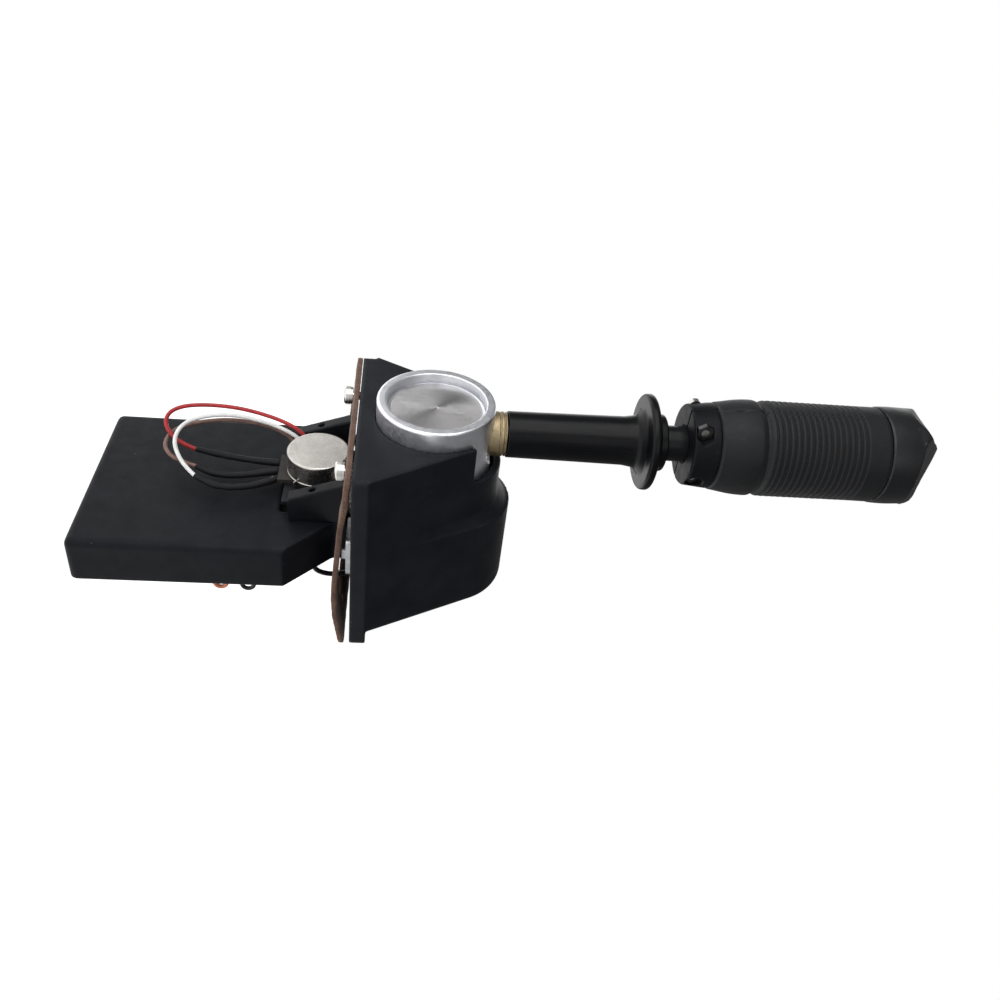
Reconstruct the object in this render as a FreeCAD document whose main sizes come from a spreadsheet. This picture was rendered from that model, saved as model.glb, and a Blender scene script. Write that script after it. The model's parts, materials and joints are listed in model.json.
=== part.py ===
# Single-axis control joystick for a machine's operator panel.
# Upright, in millimetres: z = 0 is the underside of the mounting flange, +Z runs up the lever,
# the lever pivots about an axis along X, and the bright pivot hub faces -X.
import FreeCAD, Part
import math
import os

import Sketcher

doc = FreeCAD.newDocument("panel_joystick")
sheet = doc.addObject("Spreadsheet::Sheet", "dims")


class Dim:
    """A size from the sheet: its number, and the expression that a property is bound to."""

    def __init__(self, value, text):
        self.value = float(value)
        self.text = text

    def __add__(self, other):
        other = as_dim(other)
        return Dim(self.value + other.value, f"({self.text} + {other.text})")

    def __sub__(self, other):
        other = as_dim(other)
        return Dim(self.value - other.value, f"({self.text} - {other.text})")

    def __mul__(self, other):
        other = as_dim(other)
        return Dim(self.value * other.value, f"({self.text} * {other.text})")

    def __truediv__(self, other):
        other = as_dim(other)
        return Dim(self.value / other.value, f"({self.text} / {other.text})")

    def __neg__(self):
        return Dim(-self.value, f"(0 - {self.text})")

    def __radd__(self, other):
        return as_dim(other) + self

    def __rsub__(self, other):
        return as_dim(other) - self

    def __rmul__(self, other):
        return as_dim(other) * self


def as_dim(value):
    return value if isinstance(value, Dim) else Dim(value, f"{float(value):.6g}")


def sine(angle):
    return Dim(math.sin(math.radians(angle.value)), f"sin({angle.text})")


def cosine(angle):
    return Dim(math.cos(math.radians(angle.value)), f"cos({angle.text})")


# ---------------------------------------------------------------- driving dimensions
ROWS = {
    # mounting flange and gasket
    "flange_x": 81.0,
    "flange_y": 86.0,
    "flange_thick": 6.15,
    "flange_corner": 3.0,
    "mount_x": 32.0,
    "mount_y": 25.4,
    "mount_hole_radius": 1.65,
    "gasket_thick": 2.0,
    # die-cast housing
    "wall": 3.0,
    "side_wall": 4.0,
    "upper_lean": 30.9,
    "upper_nose_radius": 22.44,
    "upper_nose_z": 33.36,
    "upper_end_x": -9.0,
    "lower_lean": 27.0,
    "lower_nose_radius": 23.75,
    "lower_nose_z": 37.45,
    "lower_start_x": -4.0,
    "lower_end_x": 36.0,
    "slot_half": 19.3,
    "slot_z": 43.8,
    "slot_floor_x": -24.0,
    # pivot hub
    "pivot_z": 29.15,
    "hub_face_x": -48.4,
    "hub_radius": 22.5,
    "hub_recess_radius": 18.85,
    "hub_recess_floor_x": -43.9,
    "hub_inner_x": -20.0,
    "cap_radius": 17.4,
    "axle_radius": 5.0,
    "run_gap": 0.05,
    # lever
    "lever_x": -34.9,
    "rod_radius": 5.0,
    "collar_radius": 8.6,
    "collar_top_z": 56.4,
    "sleeve_bottom_z": 56.8,
    "sleeve_bottom_radius": 9.0,
    "sleeve_top_radius": 9.6,
    "disc_radius": 18.96,
    "disc_top_z": 114.0,
    "disc_thick": 4.4,
    "ring_radius": 11.0,
    "ring_top_z": 118.5,
    "neck_radius": 7.0,
    # grip
    "grip_radius": 19.0,
    "grip_bottom_z": 127.0,
    "rubber_bottom_z": 137.5,
    "waist_z": 155.6,
    "rib_start_z": 157.6,
    "rib_count": 16,
    "rib_pitch": 2.4,
    "rib_depth": 0.6,
    "seam_z": 205.0,
    "boot_radius": 19.3,
    "tip_z": 231.5,
    # sensor and electronics
    "pot_z": -14.85,
    "pot_radius": 12.1,
    "pot_top_x": -22.4,
    "pot_base_x": -13.4,
    "gear_x": -7.8,
    "gear_thick": 3.5,
    "arm_inner": 18.5,
    "arm_outer": 24.0,
    "box_top_x": -6.45,
    "box_thick": 18.25,
    "box_y": 81.8,
    "box_bottom_z": -101.3,
    "box_shoulder_z": -24.6,
    "neck_half": 24.0,
    "neck_top_z": -1.8,
    # leads
    "lead_radius": 0.8,
    "shrink_radius": 1.25,
    "switch_lead_radius": 1.0,
}
for row, (alias, value) in enumerate(ROWS.items(), start=1):
    sheet.set(f"A{row}", alias)
    sheet.set(f"B{row}", f"{value:g}")
    sheet.setAlias(f"B{row}", alias)
doc.recompute()


def dim(alias):
    return Dim(ROWS[alias], f"dims.{alias}")


# ---------------------------------------------------------------- building blocks
TURNS = {
    "z": FreeCAD.Rotation(),
    "x": FreeCAD.Rotation(FreeCAD.Vector(0, 1, 0), 90),
    "y": FreeCAD.Rotation(FreeCAD.Vector(1, 0, 0), -90),
}
PLANES = {
    "xy": FreeCAD.Rotation(),
    "xz": FreeCAD.Rotation(FreeCAD.Vector(1, 0, 0), 90),
    "yz": FreeCAD.Rotation(
        FreeCAD.Vector(0, 1, 0), FreeCAD.Vector(0, 0, 1), FreeCAD.Vector(1, 0, 0), "XYZ"
    ),
}
NORMALS = {
    "xy": FreeCAD.Vector(0, 0, 1),
    "xz": FreeCAD.Vector(0, 1, 0),
    "yz": FreeCAD.Vector(1, 0, 0),
}
pieces = []


def bind(item, prop, size):
    size = as_dim(size)
    setattr(item, prop, size.value)
    if "dims." in size.text:
        item.setExpression(prop, size.text)


def place(item, at, turn):
    spot = [as_dim(c) for c in at]
    item.Placement = FreeCAD.Placement(FreeCAD.Vector(*[c.value for c in spot]), turn)
    for letter, c in zip("xyz", spot):
        if "dims." in c.text:
            item.setExpression(f"Placement.Base.{letter}", c.text)


def cylinder(name, axis, radius, length, at):
    item = doc.addObject("Part::Cylinder", name)
    bind(item, "Radius", radius)
    bind(item, "Height", length)
    place(item, at, TURNS[axis])
    return item


def box(name, low, high):
    """Box between two opposite corners."""
    item = doc.addObject("Part::Box", name)
    for prop, a, b in zip(("Length", "Width", "Height"), low, high):
        bind(item, prop, as_dim(b) - as_dim(a))
    place(item, low, TURNS["z"])
    return item


def sketch(name, plane, corners, at=(0, 0, 0)):
    """Closed outline of straight sides, with every corner held by two dimensions."""
    item = doc.addObject("Sketcher::SketchObject", name)
    spots = [(as_dim(a), as_dim(b)) for a, b in corners]
    count = len(spots)
    for i in range(count):
        a, b = spots[i], spots[(i + 1) % count]
        start = FreeCAD.Vector(a[0].value, a[1].value, 0)
        end = FreeCAD.Vector(b[0].value, b[1].value, 0)
        item.addGeometry(Part.LineSegment(start, end), False)
    for i in range(count):
        item.addConstraint(Sketcher.Constraint("Coincident", i, 2, (i + 1) % count, 1))
    for i, spot in enumerate(spots):
        for kind, size, axis_line in (("DistanceX", spot[0], -2), ("DistanceY", spot[1], -1)):
            if abs(size.value) < 1e-9:
                item.addConstraint(Sketcher.Constraint("PointOnObject", i, 1, axis_line))
                continue
            number = item.addConstraint(Sketcher.Constraint(kind, -1, 1, i, 1, size.value))
            if "dims." in size.text:
                item.setExpression(f"Constraints[{number}]", size.text)
    place(item, at, PLANES[plane])
    return item


def prism(name, plane, corners, start, length):
    """Outline pushed along the third axis, from start."""
    offsets = {"xy": (0, 0, start), "xz": (0, start, 0), "yz": (start, 0, 0)}
    base = sketch(f"{name}_outline", plane, corners, offsets[plane])
    item = doc.addObject("Part::Extrusion", name)
    item.Base = base
    item.DirMode = "Custom"
    item.Dir = NORMALS[plane]
    item.Solid = True
    bind(item, "LengthFwd", length)
    return item


def turned(name, axis, corners, at):
    """Outline of (radius, height) points turned about a line along X or Z through at."""
    plane = "xz"
    points = corners if axis == "z" else [(h, r) for r, h in corners]
    base = sketch(f"{name}_outline", plane, points, at)
    item = doc.addObject("Part::Revolution", name)
    item.Source = base
    item.Axis = FreeCAD.Vector(0, 0, 1) if axis == "z" else FreeCAD.Vector(1, 0, 0)
    item.Base = FreeCAD.Vector(*[as_dim(c).value for c in at])
    item.Angle = 360
    item.Solid = True
    return item


def fuse(name, *parts):
    item = doc.addObject("Part::MultiFuse", name)
    item.Shapes = list(parts)
    item.Refine = True
    return item


def common(name, *parts):
    item = doc.addObject("Part::MultiCommon", name)
    item.Shapes = list(parts)
    return item


def cut(name, base, *tools):
    item = doc.addObject("Part::Cut", name)
    item.Base = base
    item.Tool = tools[0] if len(tools) == 1 else fuse(f"{name}_tools", *tools)
    return item


def rounded(name, base, radius, wanted):
    """Fillet on the edges whose middle point passes the test."""
    doc.recompute()
    item = doc.addObject("Part::Fillet", name)
    item.Base = base
    picked = []
    for number, edge in enumerate(base.Shape.Edges, start=1):
        middle = edge.valueAt((edge.FirstParameter + edge.LastParameter) / 2)
        if wanted(middle, edge):
            picked.append((number, radius, radius))
    item.Edges = picked
    return item


def piece(item, node):
    item.Label = node
    pieces.append((item, node))
    return item


def group(name, *parts):
    """A set of equal small pieces kept as one node."""
    item = doc.addObject("Part::Compound", name)
    item.Links = list(parts)
    return item


def route(points):
    """Straight runs joined by tangent arcs, as one wire, with the smallest arc radius."""
    spots = [FreeCAD.Vector(*p) for p in points]
    edges = []
    radii = []
    here = spots[0]
    for before, corner, after in zip(spots, spots[1:], spots[2:]):
        way_in = (corner - before).normalize()
        way_out = (after - corner).normalize()
        turn = way_in.getAngle(way_out)
        shorter = min((corner - before).Length, (after - corner).Length)
        reach = 0.45 * shorter
        radius = reach / math.tan(turn / 2)
        radii.append(radius)
        start = corner - way_in * reach
        end = corner + way_out * reach
        inward = (way_out - way_in).normalize()
        middle = corner + inward * (radius / math.cos(turn / 2) - radius)
        edges.append(Part.LineSegment(here, start).toShape())
        edges.append(Part.Arc(start, middle, end).toShape())
        here = end
    edges.append(Part.LineSegment(here, spots[-1]).toShape())
    return Part.Wire(edges), min(radii)


def swept(name, path, radius, inner=None):
    """Round tube or rod swept along a wire."""
    spine = doc.addObject("Part::Feature", f"{name}_path")
    spine.Shape = path
    first = path.OrderedEdges[0]
    along = first.tangentAt(first.FirstParameter)
    turn = FreeCAD.Rotation(FreeCAD.Vector(0, 0, 1), along)
    start = first.valueAt(first.FirstParameter)
    bars = []
    for part, size in (("skin", radius), ("core", inner)):
        if size is None:
            continue
        section = doc.addObject("Part::Circle", f"{name}_{part}_section")
        bind(section, "Radius", size)
        section.Placement = FreeCAD.Placement(start, turn)
        bar = doc.addObject("Part::Sweep", f"{name}_{part}")
        bar.Sections = [section]
        bar.Spine = (spine, [f"Edge{i + 1}" for i in range(len(path.Edges))])
        bar.Solid = True
        bar.Frenet = False
        bars.append(bar)
    return bars[0] if inner is None else cut(name, bars[0], bars[1])


def lead(node, points, radius):
    path, tightest = route(points)
    item = piece(swept(node, path, radius), node)
    doc.recompute()
    expected = math.pi * as_dim(radius).value ** 2 * path.Length
    share = item.Shape.Volume / expected
    print(f"{node}: length {path.Length:.1f} mm, tightest radius {tightest:.1f} mm, volume {share:.3f}")
    return item


def coil(name, axis, mean_radius, wire_radius, pitch, height, at):
    """Helical spring; its axis starts at the given point."""
    spine = doc.addObject("Part::Helix", f"{name}_line")
    bind(spine, "Radius", mean_radius)
    bind(spine, "Pitch", pitch)
    bind(spine, "Height", height)
    section = doc.addObject("Part::Circle", f"{name}_section")
    bind(section, "Radius", wire_radius)
    section.Placement = FreeCAD.Placement(
        FreeCAD.Vector(as_dim(mean_radius).value, 0, 0),
        FreeCAD.Rotation(FreeCAD.Vector(1, 0, 0), 90),
    )
    bar = doc.addObject("Part::Sweep", f"{name}_bar")
    bar.Sections = [section]
    bar.Spine = (spine, ["Edge1"])
    bar.Solid = True
    bar.Frenet = True
    item = doc.addObject("Part::Compound", name)
    item.Links = [bar]
    place(item, at, TURNS[axis])
    return item


# ---------------------------------------------------------------- housing
pivot_z = dim("pivot_z")
lever_x = dim("lever_x")
half_x = dim("flange_x") / 2
half_y = dim("flange_y") / 2
flange_thick = dim("flange_thick")


def nose_profile(lean, radius, centre_z, foot_z):
    """Corners of the flanks, from the foot to where the round nose begins."""
    touch_y = radius * cosine(lean)
    touch_z = centre_z + radius * sine(lean)
    foot_y = touch_y + (touch_z - foot_z) * sine(lean) / cosine(lean)
    return [(-foot_y, foot_z), (foot_y, foot_z), (touch_y, touch_z), (-touch_y, touch_z)]


def nose_block(name, tier, inset, start, end, foot_z):
    """Housing tier along X: leaning flanks under a round nose, drawn inset from the outer skin."""
    lean = dim(f"{tier}_lean")
    radius = dim(f"{tier}_nose_radius") - inset
    centre_z = dim(f"{tier}_nose_z")
    start, end = as_dim(start), as_dim(end)
    flanks = prism(f"{name}_flanks", "yz", nose_profile(lean, radius, centre_z, foot_z), start, end - start)
    nose = cylinder(f"{name}_nose", "x", radius, end - start, (start, 0, centre_z))
    above = box(f"{name}_above", (start, -60, foot_z), (end, 60, 80))
    return fuse(name, flanks, common(f"{name}_round", nose, above))


def make_housing():
    wall = dim("wall")
    upper_end = dim("upper_end_x")
    lower_start = dim("lower_start_x")
    lower_end = dim("lower_end_x")
    plate = rounded(
        "flange_plate",
        box("flange_box", (-half_x, -half_y, 0), (half_x, half_y, flange_thick)),
        ROWS["flange_corner"],
        lambda p, e: 1 < p.z < 5 and abs(p.x) > 40 and abs(p.y) > 42,
    )
    foot = flange_thick - 0.5
    upper = nose_block("upper_tier", "upper", 0, -half_x, upper_end + 1, foot)
    lower = nose_block("lower_tier", "lower", 0, lower_start - 1, lower_end, foot)
    lower_soft = rounded(
        "lower_tier_soft",
        lower,
        5.0,
        lambda p, e: p.x > ROWS["lower_end_x"] - 0.1 and p.z > 8,
    )
    # sloping shoulder between the two tiers
    sections = []
    for tier, at_x in (("upper", upper_end), ("lower", lower_start)):
        lean = dim(f"{tier}_lean")
        radius = dim(f"{tier}_nose_radius")
        centre = dim(f"{tier}_nose_z")
        foot_left, foot_right, touch_right, touch_left = [
            FreeCAD.Vector(at_x.value, a.value, b.value)
            for a, b in nose_profile(lean, radius, centre, foot)
        ]
        crown = FreeCAD.Vector(at_x.value, 0, centre.value + radius.value)
        rim = [
            Part.LineSegment(foot_left, foot_right).toShape(),
            Part.LineSegment(foot_right, touch_right).toShape(),
            Part.Arc(touch_right, crown, touch_left).toShape(),
            Part.LineSegment(touch_left, foot_left).toShape(),
        ]
        ring = doc.addObject("Part::Feature", f"shoulder_{tier}_rim")
        ring.Shape = Part.Wire(rim)
        sections.append(ring)
    shoulder = doc.addObject("Part::Loft", "shoulder")
    shoulder.Sections = sections
    shoulder.Solid = True
    shoulder.Ruled = True
    outside = fuse("housing_outside", plate, upper, shoulder, lower_soft)

    # rooms: hub room, gear room, spring and switch room, end room, with two bearing webs between
    hub_room = nose_block("hub_room", "upper", wall, -half_x + dim("side_wall"), -18, flange_thick)
    gear_room = nose_block("gear_room", "upper", wall, -13, -3, flange_thick)
    spring_room = nose_block("spring_room", "lower", wall, -3.5, 19, flange_thick)
    end_room = nose_block("end_room", "lower", wall, 24, lower_end - wall, flange_thick)
    mouth = box("mouth", (-half_x + dim("side_wall"), -27, -1), (lower_end - wall, 27, flange_thick + 0.5))
    gap_1 = box("web_1_foot", (-18, -45, flange_thick), (-13, 45, 12))
    gap_2 = box("web_2_foot", (19, -45, flange_thick), (24, 45, 9))
    foot_limit = nose_block("foot_limit", "upper", wall, -20, 26, flange_thick)
    feet = common("web_feet", fuse("feet", gap_1, gap_2), foot_limit)
    rooms = fuse("rooms", hub_room, gear_room, spring_room, end_room, mouth, feet)
    bosses = []
    for i, (sx, sy) in enumerate(((-1, -1), (-1, 1), (1, -1), (1, 1))):
        at = (dim("mount_x") * sx, dim("mount_y") * sy, 0)
        bosses.append(cylinder(f"mount_boss_{i}", "z", 4, 12, at))
    hollow = cut("hollow", rooms, *bosses)
    shell = cut("housing_shell", outside, hollow)

    hub_bore = cylinder("hub_bore", "x", dim("hub_radius") + 0.3, 23.5, (-half_x - 2, 0, pivot_z))
    slot = rounded(
        "lever_slot",
        box(
            "lever_slot_box",
            (-half_x - 5, -dim("slot_half"), dim("slot_z")),
            (dim("slot_floor_x"), dim("slot_half"), 80),
        ),
        3.0,
        lambda p, e: abs(p.y) > 19 and abs(p.x - ROWS["slot_floor_x"]) < 0.1 and p.z > 45,
    )
    bearing_1 = cylinder("bearing_hole_1", "x", 7, 7, (-19, 0, pivot_z))
    bearing_2 = cylinder("bearing_hole_2", "x", 7, 7, (18, 0, pivot_z))
    holes = []
    for i, (sx, sy) in enumerate(((-1, -1), (-1, 1), (1, -1), (1, 1))):
        at = (dim("mount_x") * sx, dim("mount_y") * sy, -1)
        holes.append(cylinder(f"mount_hole_{i}", "z", dim("mount_hole_radius"), 11, at))
    strap_holes = [
        cylinder(f"strap_hole_{i}", "z", 1.25, 6, (-2.5, 36 * side, -1))
        for i, side in enumerate((-1, 1))
    ]
    switch_holes = [
        cylinder(f"switch_hole_{i}", "x", 0.8, 3, (18.5, y, 11)) for i, y in enumerate((-4.75, 4.75))
    ]
    anchor_hole = cylinder("anchor_hole", "x", 1.5, 3, (18.5, 0, 42.15))
    bores = [hub_bore, slot, bearing_1, bearing_2, anchor_hole, *holes, *strap_holes, *switch_holes]
    housing = cut("housing", shell, *bores)
    piece(housing, "housing")


def make_gasket():
    """Fibre gasket, flat at its hub side and sagging away from the flange towards +X."""
    outer = (
        (-1.0, -2.2), (-0.88, -2.9), (-0.69, -3.1), (-0.47, -4.7), (-0.12, -5.8),
        (0.2, -6.8), (0.37, -7.0), (0.6, -6.6), (0.8, -5.4), (1.0, -3.9),
    )
    low = [(half_x * share, z) for share, z in outer]
    high = [(x, dim("gasket_thick") + z) for x, z in reversed(low)]
    strip = prism("gasket_strip", "xz", low + high, -half_y, half_y * 2)
    window = box("gasket_window", (-27.5, -30, -12), (28, 30, 4))
    holes = []
    for i, (sx, sy) in enumerate(((-1, -1), (-1, 1), (1, -1), (1, 1))):
        at = (dim("mount_x") * sx, dim("mount_y") * sy, -12)
        holes.append(cylinder(f"gasket_hole_{i}", "z", 2.3, 16, at))
    sheet_cut = cut("gasket_cut", strip, window, *holes)
    soft = rounded(
        "gasket",
        sheet_cut,
        2.9,
        lambda p, e: abs(p.x) > 40 and abs(p.y) > 42.5 and e.Length < 2.5,
    )
    piece(soft, "gasket")


def make_panel_screws():
    """Two pan-head screws with split washers, in the two mounting holes at the hub side."""
    washers = []
    for side, label in ((-1, "near"), (1, "far")):
        x = -dim("mount_x")
        y = dim("mount_y") * side
        washer = cut(
            f"washer_{label}",
            cylinder(f"washer_{label}_disc", "z", 3.4, 0.9, (x, y, -4.25)),
            cylinder(f"washer_{label}_hole", "z", 1.7, 2, (x, y, -5)),
            box(f"washer_{label}_split", (x - 5, y - 0.25, -5), (x - 1, y + 0.25, -2)),
        )
        washers.append(washer)
        head = rounded(
            f"panel_head_{label}",
            cylinder(f"panel_head_{label}_blank", "z", 3.6, 2.6, (x, y, -6.85)),
            0.9,
            lambda p, e: p.z < -6.8 and e.Length > 20,
        )
        shank = cylinder(f"panel_shank_{label}", "z", 1.6, 9.3, (x, y, -4.3))
        cross_1 = box(f"panel_cross_{label}_1", (x - 2, y - 0.45, -8), (x + 2, y + 0.45, -5.4))
        cross_2 = box(f"panel_cross_{label}_2", (x - 0.45, y - 2, -8), (x + 0.45, y + 2, -5.4))
        piece(cut(f"panel_screw_{label}", fuse(f"panel_bolt_{label}", head, shank), cross_1, cross_2),
              f"panel_screw_{label}")
    piece(group("washer_pair", *washers), "lock_washers")


def make_strap():
    """Plated steel strap across the flange, which carries the electronics box."""
    ends = [
        rounded(
            f"strap_end_{i}",
            box(f"strap_end_{i}_box", (-11, 26 * side if side > 0 else -40.5, -1.8),
                (6, 40.5 if side > 0 else -26, 0)),
            3.0,
            lambda p, e: abs(p.y) > 40.4 and -1.5 < p.z < -0.3,
        )
        for i, side in enumerate((-1, 1))
    ]
    bar = box("strap_bar", (-3.3, -27, -1.8), (6, 27, 0))
    holes = [cylinder(f"strap_clear_{i}", "z", 1.25, 4, (-2.5, 36 * s, -3)) for i, s in enumerate((-1, 1))]
    neck_holes = [cylinder(f"strap_neck_{i}", "z", 1.5, 4, (2.5, 14 * s, -3)) for i, s in enumerate((-1, 1))]
    piece(cut("cross_strap", fuse("strap_plate", bar, *ends), *holes, *neck_holes), "cross_strap")
    strap_screws = []
    neck_screws = []
    for side, label in ((-1, "near"), (1, "far")):
        head = cylinder(f"strap_head_{label}", "z", 2.6, 1.6, (-2.5, 36 * side, -3.4))
        shank = cylinder(f"strap_shank_{label}", "z", 1.2, 6.2, (-2.5, 36 * side, -1.9))
        slot = box(f"strap_slot_{label}", (-5.5, 36 * side - 0.35, -4), (0.5, 36 * side + 0.35, -2.7))
        strap_screws.append(cut(f"strap_screw_{label}", fuse(f"strap_bolt_{label}", head, shank), slot))
        head_2 = cylinder(f"neck_head_{label}", "z", 2.8, 1.8, (2.5, 14 * side, 0))
        shank_2 = cylinder(f"neck_shank_{label}", "z", 1.45, 11, (2.5, 14 * side, -10.9))
        neck_screws.append(fuse(f"neck_screw_{label}", head_2, shank_2))
    piece(group("strap_screw_pair", *strap_screws), "strap_screws")
    piece(group("neck_screw_pair", *neck_screws), "neck_screws")


# ---------------------------------------------------------------- sensor group
def make_pot_bracket():
    """Two arms joined by a thin web that carries the position sensor."""
    arm_inner = dim("arm_inner")
    arm_outer = dim("arm_outer")
    box_top = dim("box_top_x")
    side = [(box_top, -24.4), (-16.5, -24.4), (-24.3, -3), (box_top, -3)]
    arms = []
    for i, start in enumerate((-arm_outer, arm_inner)):
        arms.append(prism(f"bracket_arm_{i}", "xz", side, start, arm_outer - arm_inner))
    web = box("bracket_web", (-11.8, -arm_inner - 0.5, -27.4), (-9.8, arm_inner + 0.5, -3))
    bushing_hole = cylinder("bracket_hole", "x", 3.6, 4, (-12.8, 0, dim("pot_z")))
    pin_holes = []
    for i, y in enumerate((-21.2, 21.2)):
        pin_holes.append(cylinder(f"bracket_pin_hole_{i}", "x", 1.25, 20, (-26, y, -15.3)))
    frame = fuse("bracket_frame", web, *arms)
    piece(cut("pot_bracket", frame, bushing_hole, *pin_holes), "pot_bracket")
    pins = [
        cylinder(f"bracket_pin_{i}", "x", 1.22, 16, (-17.5, 21.2 * s, -15.3)) for i, s in enumerate((-1, 1))
    ]
    piece(group("bracket_pin_pair", *pins), "bracket_pins")


def make_pot():
    z = dim("pot_z")
    top = dim("pot_top_x")
    base = dim("pot_base_x")
    can = rounded(
        "pot_can_skin",
        cylinder("pot_can_blank", "x", dim("pot_radius"), base - top, (top, 0, z)),
        0.8,
        lambda p, e: p.x < ROWS["pot_top_x"] + 0.1 and e.Length > 30,
    )
    piece(cut("pot_can", can, cylinder("pot_can_bore", "x", 2.06, 7.5, (base - 7, 0, z))), "pot_can")
    wafer = fuse(
        "pot_wafer_plate",
        cylinder("pot_wafer_disc", "x", 11.6, 1.6, (base, 0, z)),
        box("pot_wafer_tail", (base, -8, z - 15.2), (base + 1.6, 8, z - 8)),
    )
    piece(cut("pot_wafer", wafer, cylinder("pot_wafer_bore", "x", 3.6, 4, (base - 1, 0, z))), "pot_wafer")
    bushing = cut(
        "pot_bushing",
        cylinder("pot_bushing_thread", "x", 3.5, 5.2, (base + 0.05, 0, z)),
        cylinder("pot_bushing_bore", "x", 2.06, 9, (base - 1, 0, z)),
    )
    piece(bushing, "pot_bushing")
    nut_flats = doc.addObject("Part::Prism", "pot_nut_blank")
    nut_flats.Polygon = 6
    bind(nut_flats, "Circumradius", 5.8)
    bind(nut_flats, "Height", 1.5)
    place(nut_flats, (-9.75, 0, z), TURNS["x"])
    piece(cut("pot_nut", nut_flats, cylinder("pot_nut_bore", "x", 3.55, 4, (-11, 0, z))), "pot_nut")
    lugs = []
    for i, y in enumerate((-5, 0, 5)):
        lugs.append(box(f"pot_lug_{i}", (-11.75, y - 1, -32.5), (-11.35, y + 1, -30.05)))
    piece(group("pot_lugs_set", *lugs), "pot_lugs")
    shaft = cylinder("pot_shaft", "x", 2.0, 15.6, (-20, 0, z))
    piece(shaft, "pot_shaft")


def gear_outline(teeth, hub_angle, first, last, backlash):
    """Involute teeth of module 1 about the origin, each at its own angle, from first to last."""
    pitch_radius = teeth / 2
    base_radius = pitch_radius * math.cos(math.radians(20))
    root = pitch_radius - 1.2
    tip = pitch_radius + 0.9
    spread = math.tan(math.radians(20)) - math.radians(20)
    half_at_pitch = math.pi / 2 / teeth - backlash / (2 * pitch_radius)
    points = []
    for number in range(first, last + 1):
        centre = hub_angle + number * 2 * math.pi / teeth
        flank = []
        for step in range(5):
            radius = max(root, base_radius) + (tip - max(root, base_radius)) * step / 4
            roll = math.acos(min(1.0, base_radius / radius))
            half = half_at_pitch + spread - (math.tan(roll) - roll)
            flank.append((radius, half))
        foot_half = flank[0][1]
        points.append((root, centre - foot_half))
        points += [(r, centre - half) for r, half in flank]
        points += [(r, centre + half) for r, half in reversed(flank)]
        points.append((root, centre + foot_half))
    return points


def gear_blank(name, centre_z, polar, closing, start, length):
    """Toothed plate; tooth outlines are arcs and involutes, so the face is built directly."""
    ring = [
        FreeCAD.Vector(start, r * math.sin(a), centre_z + r * math.cos(a)) for r, a in polar + closing
    ]
    ring.append(ring[0])
    item = doc.addObject("Part::Feature", name)
    item.Shape = Part.Face(Part.makePolygon(ring)).extrude(FreeCAD.Vector(length, 0, 0))
    return item


def make_gears():
    start = ROWS["gear_x"]
    length = ROWS["gear_thick"]
    # sector on the axle, pointing down; one tooth on the centre line
    down = math.pi
    polar = gear_outline(68, down, -7, 7, 0.16)
    reach = 7.5 * 2 * math.pi / 68
    closing = [
        (32.8, down + reach),
        (8.0, down + 1.1),
        (8.0, down + math.pi),
        (8.0, down - 1.1),
        (32.8, down - reach),
    ]
    teeth = gear_blank("sector_teeth", ROWS["pivot_z"], polar, closing, start, length)
    boss = cylinder("sector_boss", "x", 9, 8.8, (-11.8, 0, pivot_z))
    bore = cylinder("sector_bore", "x", dim("axle_radius") + 0.01, 12, (-13, 0, pivot_z))
    window = prism(
        "sector_window",
        "yz",
        [(-4, 17.5), (4, 17.5), (8.5, 3.5), (-8.5, 3.5)],
        -9,
        8,
    )
    piece(cut("sector_gear", fuse("sector_blank", teeth, boss), bore, window), "sector_gear")
    # pinion on the sensor shaft, with a tooth gap facing the sector
    polar = gear_outline(20, math.pi / 20, 0, 19, 0.16)
    wheel = gear_blank("pinion_teeth", ROWS["pot_z"], polar, [], start, length)
    pinion = cut("pinion", wheel, cylinder("pinion_bore", "x", 2.01, 6, (start - 1, 0, dim("pot_z"))))
    piece(pinion, "pinion")


# ---------------------------------------------------------------- electronics box
def make_box():
    top = dim("box_top_x")
    thick = dim("box_thick")
    half = dim("box_y") / 2
    neck = dim("neck_half")
    shoulder = dim("box_shoulder_z")
    neck_z = shoulder + (half - neck)
    corners = [
        (-half, dim("box_bottom_z")),
        (half, dim("box_bottom_z")),
        (half, shoulder),
        (neck, neck_z),
        (neck, dim("neck_top_z")),
        (-neck, dim("neck_top_z")),
        (-neck, neck_z),
        (-half, shoulder),
    ]
    body = prism("box_block", "yz", corners, top, thick)
    def outer_edge(p, e):
        on_top = abs(p.x - ROWS["box_top_x"]) < 0.1
        on_corner = e.Length > 10 and abs(p.y) > 40 and p.z < -100
        return p.z < -26 and (on_top or on_corner)

    soft = rounded("box_soft", body, 2.6, outer_edge)
    pot_room = box("box_gear_room", (top - 1, -18.4, -28), (-3.5, 18.4, 0))
    box_wall = 2.4
    fill_low = (top + 3, box_wall - half, dim("box_bottom_z") + box_wall)
    fill_room = box("box_fill_room", fill_low, (20, half - box_wall, -29))
    pins = [
        cylinder(f"box_pin_hole_{i}", "x", 1.22, 8, (-8, 21.2 * s, -15.3)) for i, s in enumerate((-1, 1))
    ]
    bolts = [
        cylinder(f"box_bolt_hole_{i}", "z", 1.45, 12, (2.5, 14 * s, -11)) for i, s in enumerate((-1, 1))
    ]
    piece(cut("electronics_box", soft, pot_room, fill_room, *pins, *bolts), "electronics_box")
    fill = box(
        "potting_fill",
        fill_low,
        (top + thick - 1.0, half - box_wall, -29),
    )
    piece(fill, "potting_fill")


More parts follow.
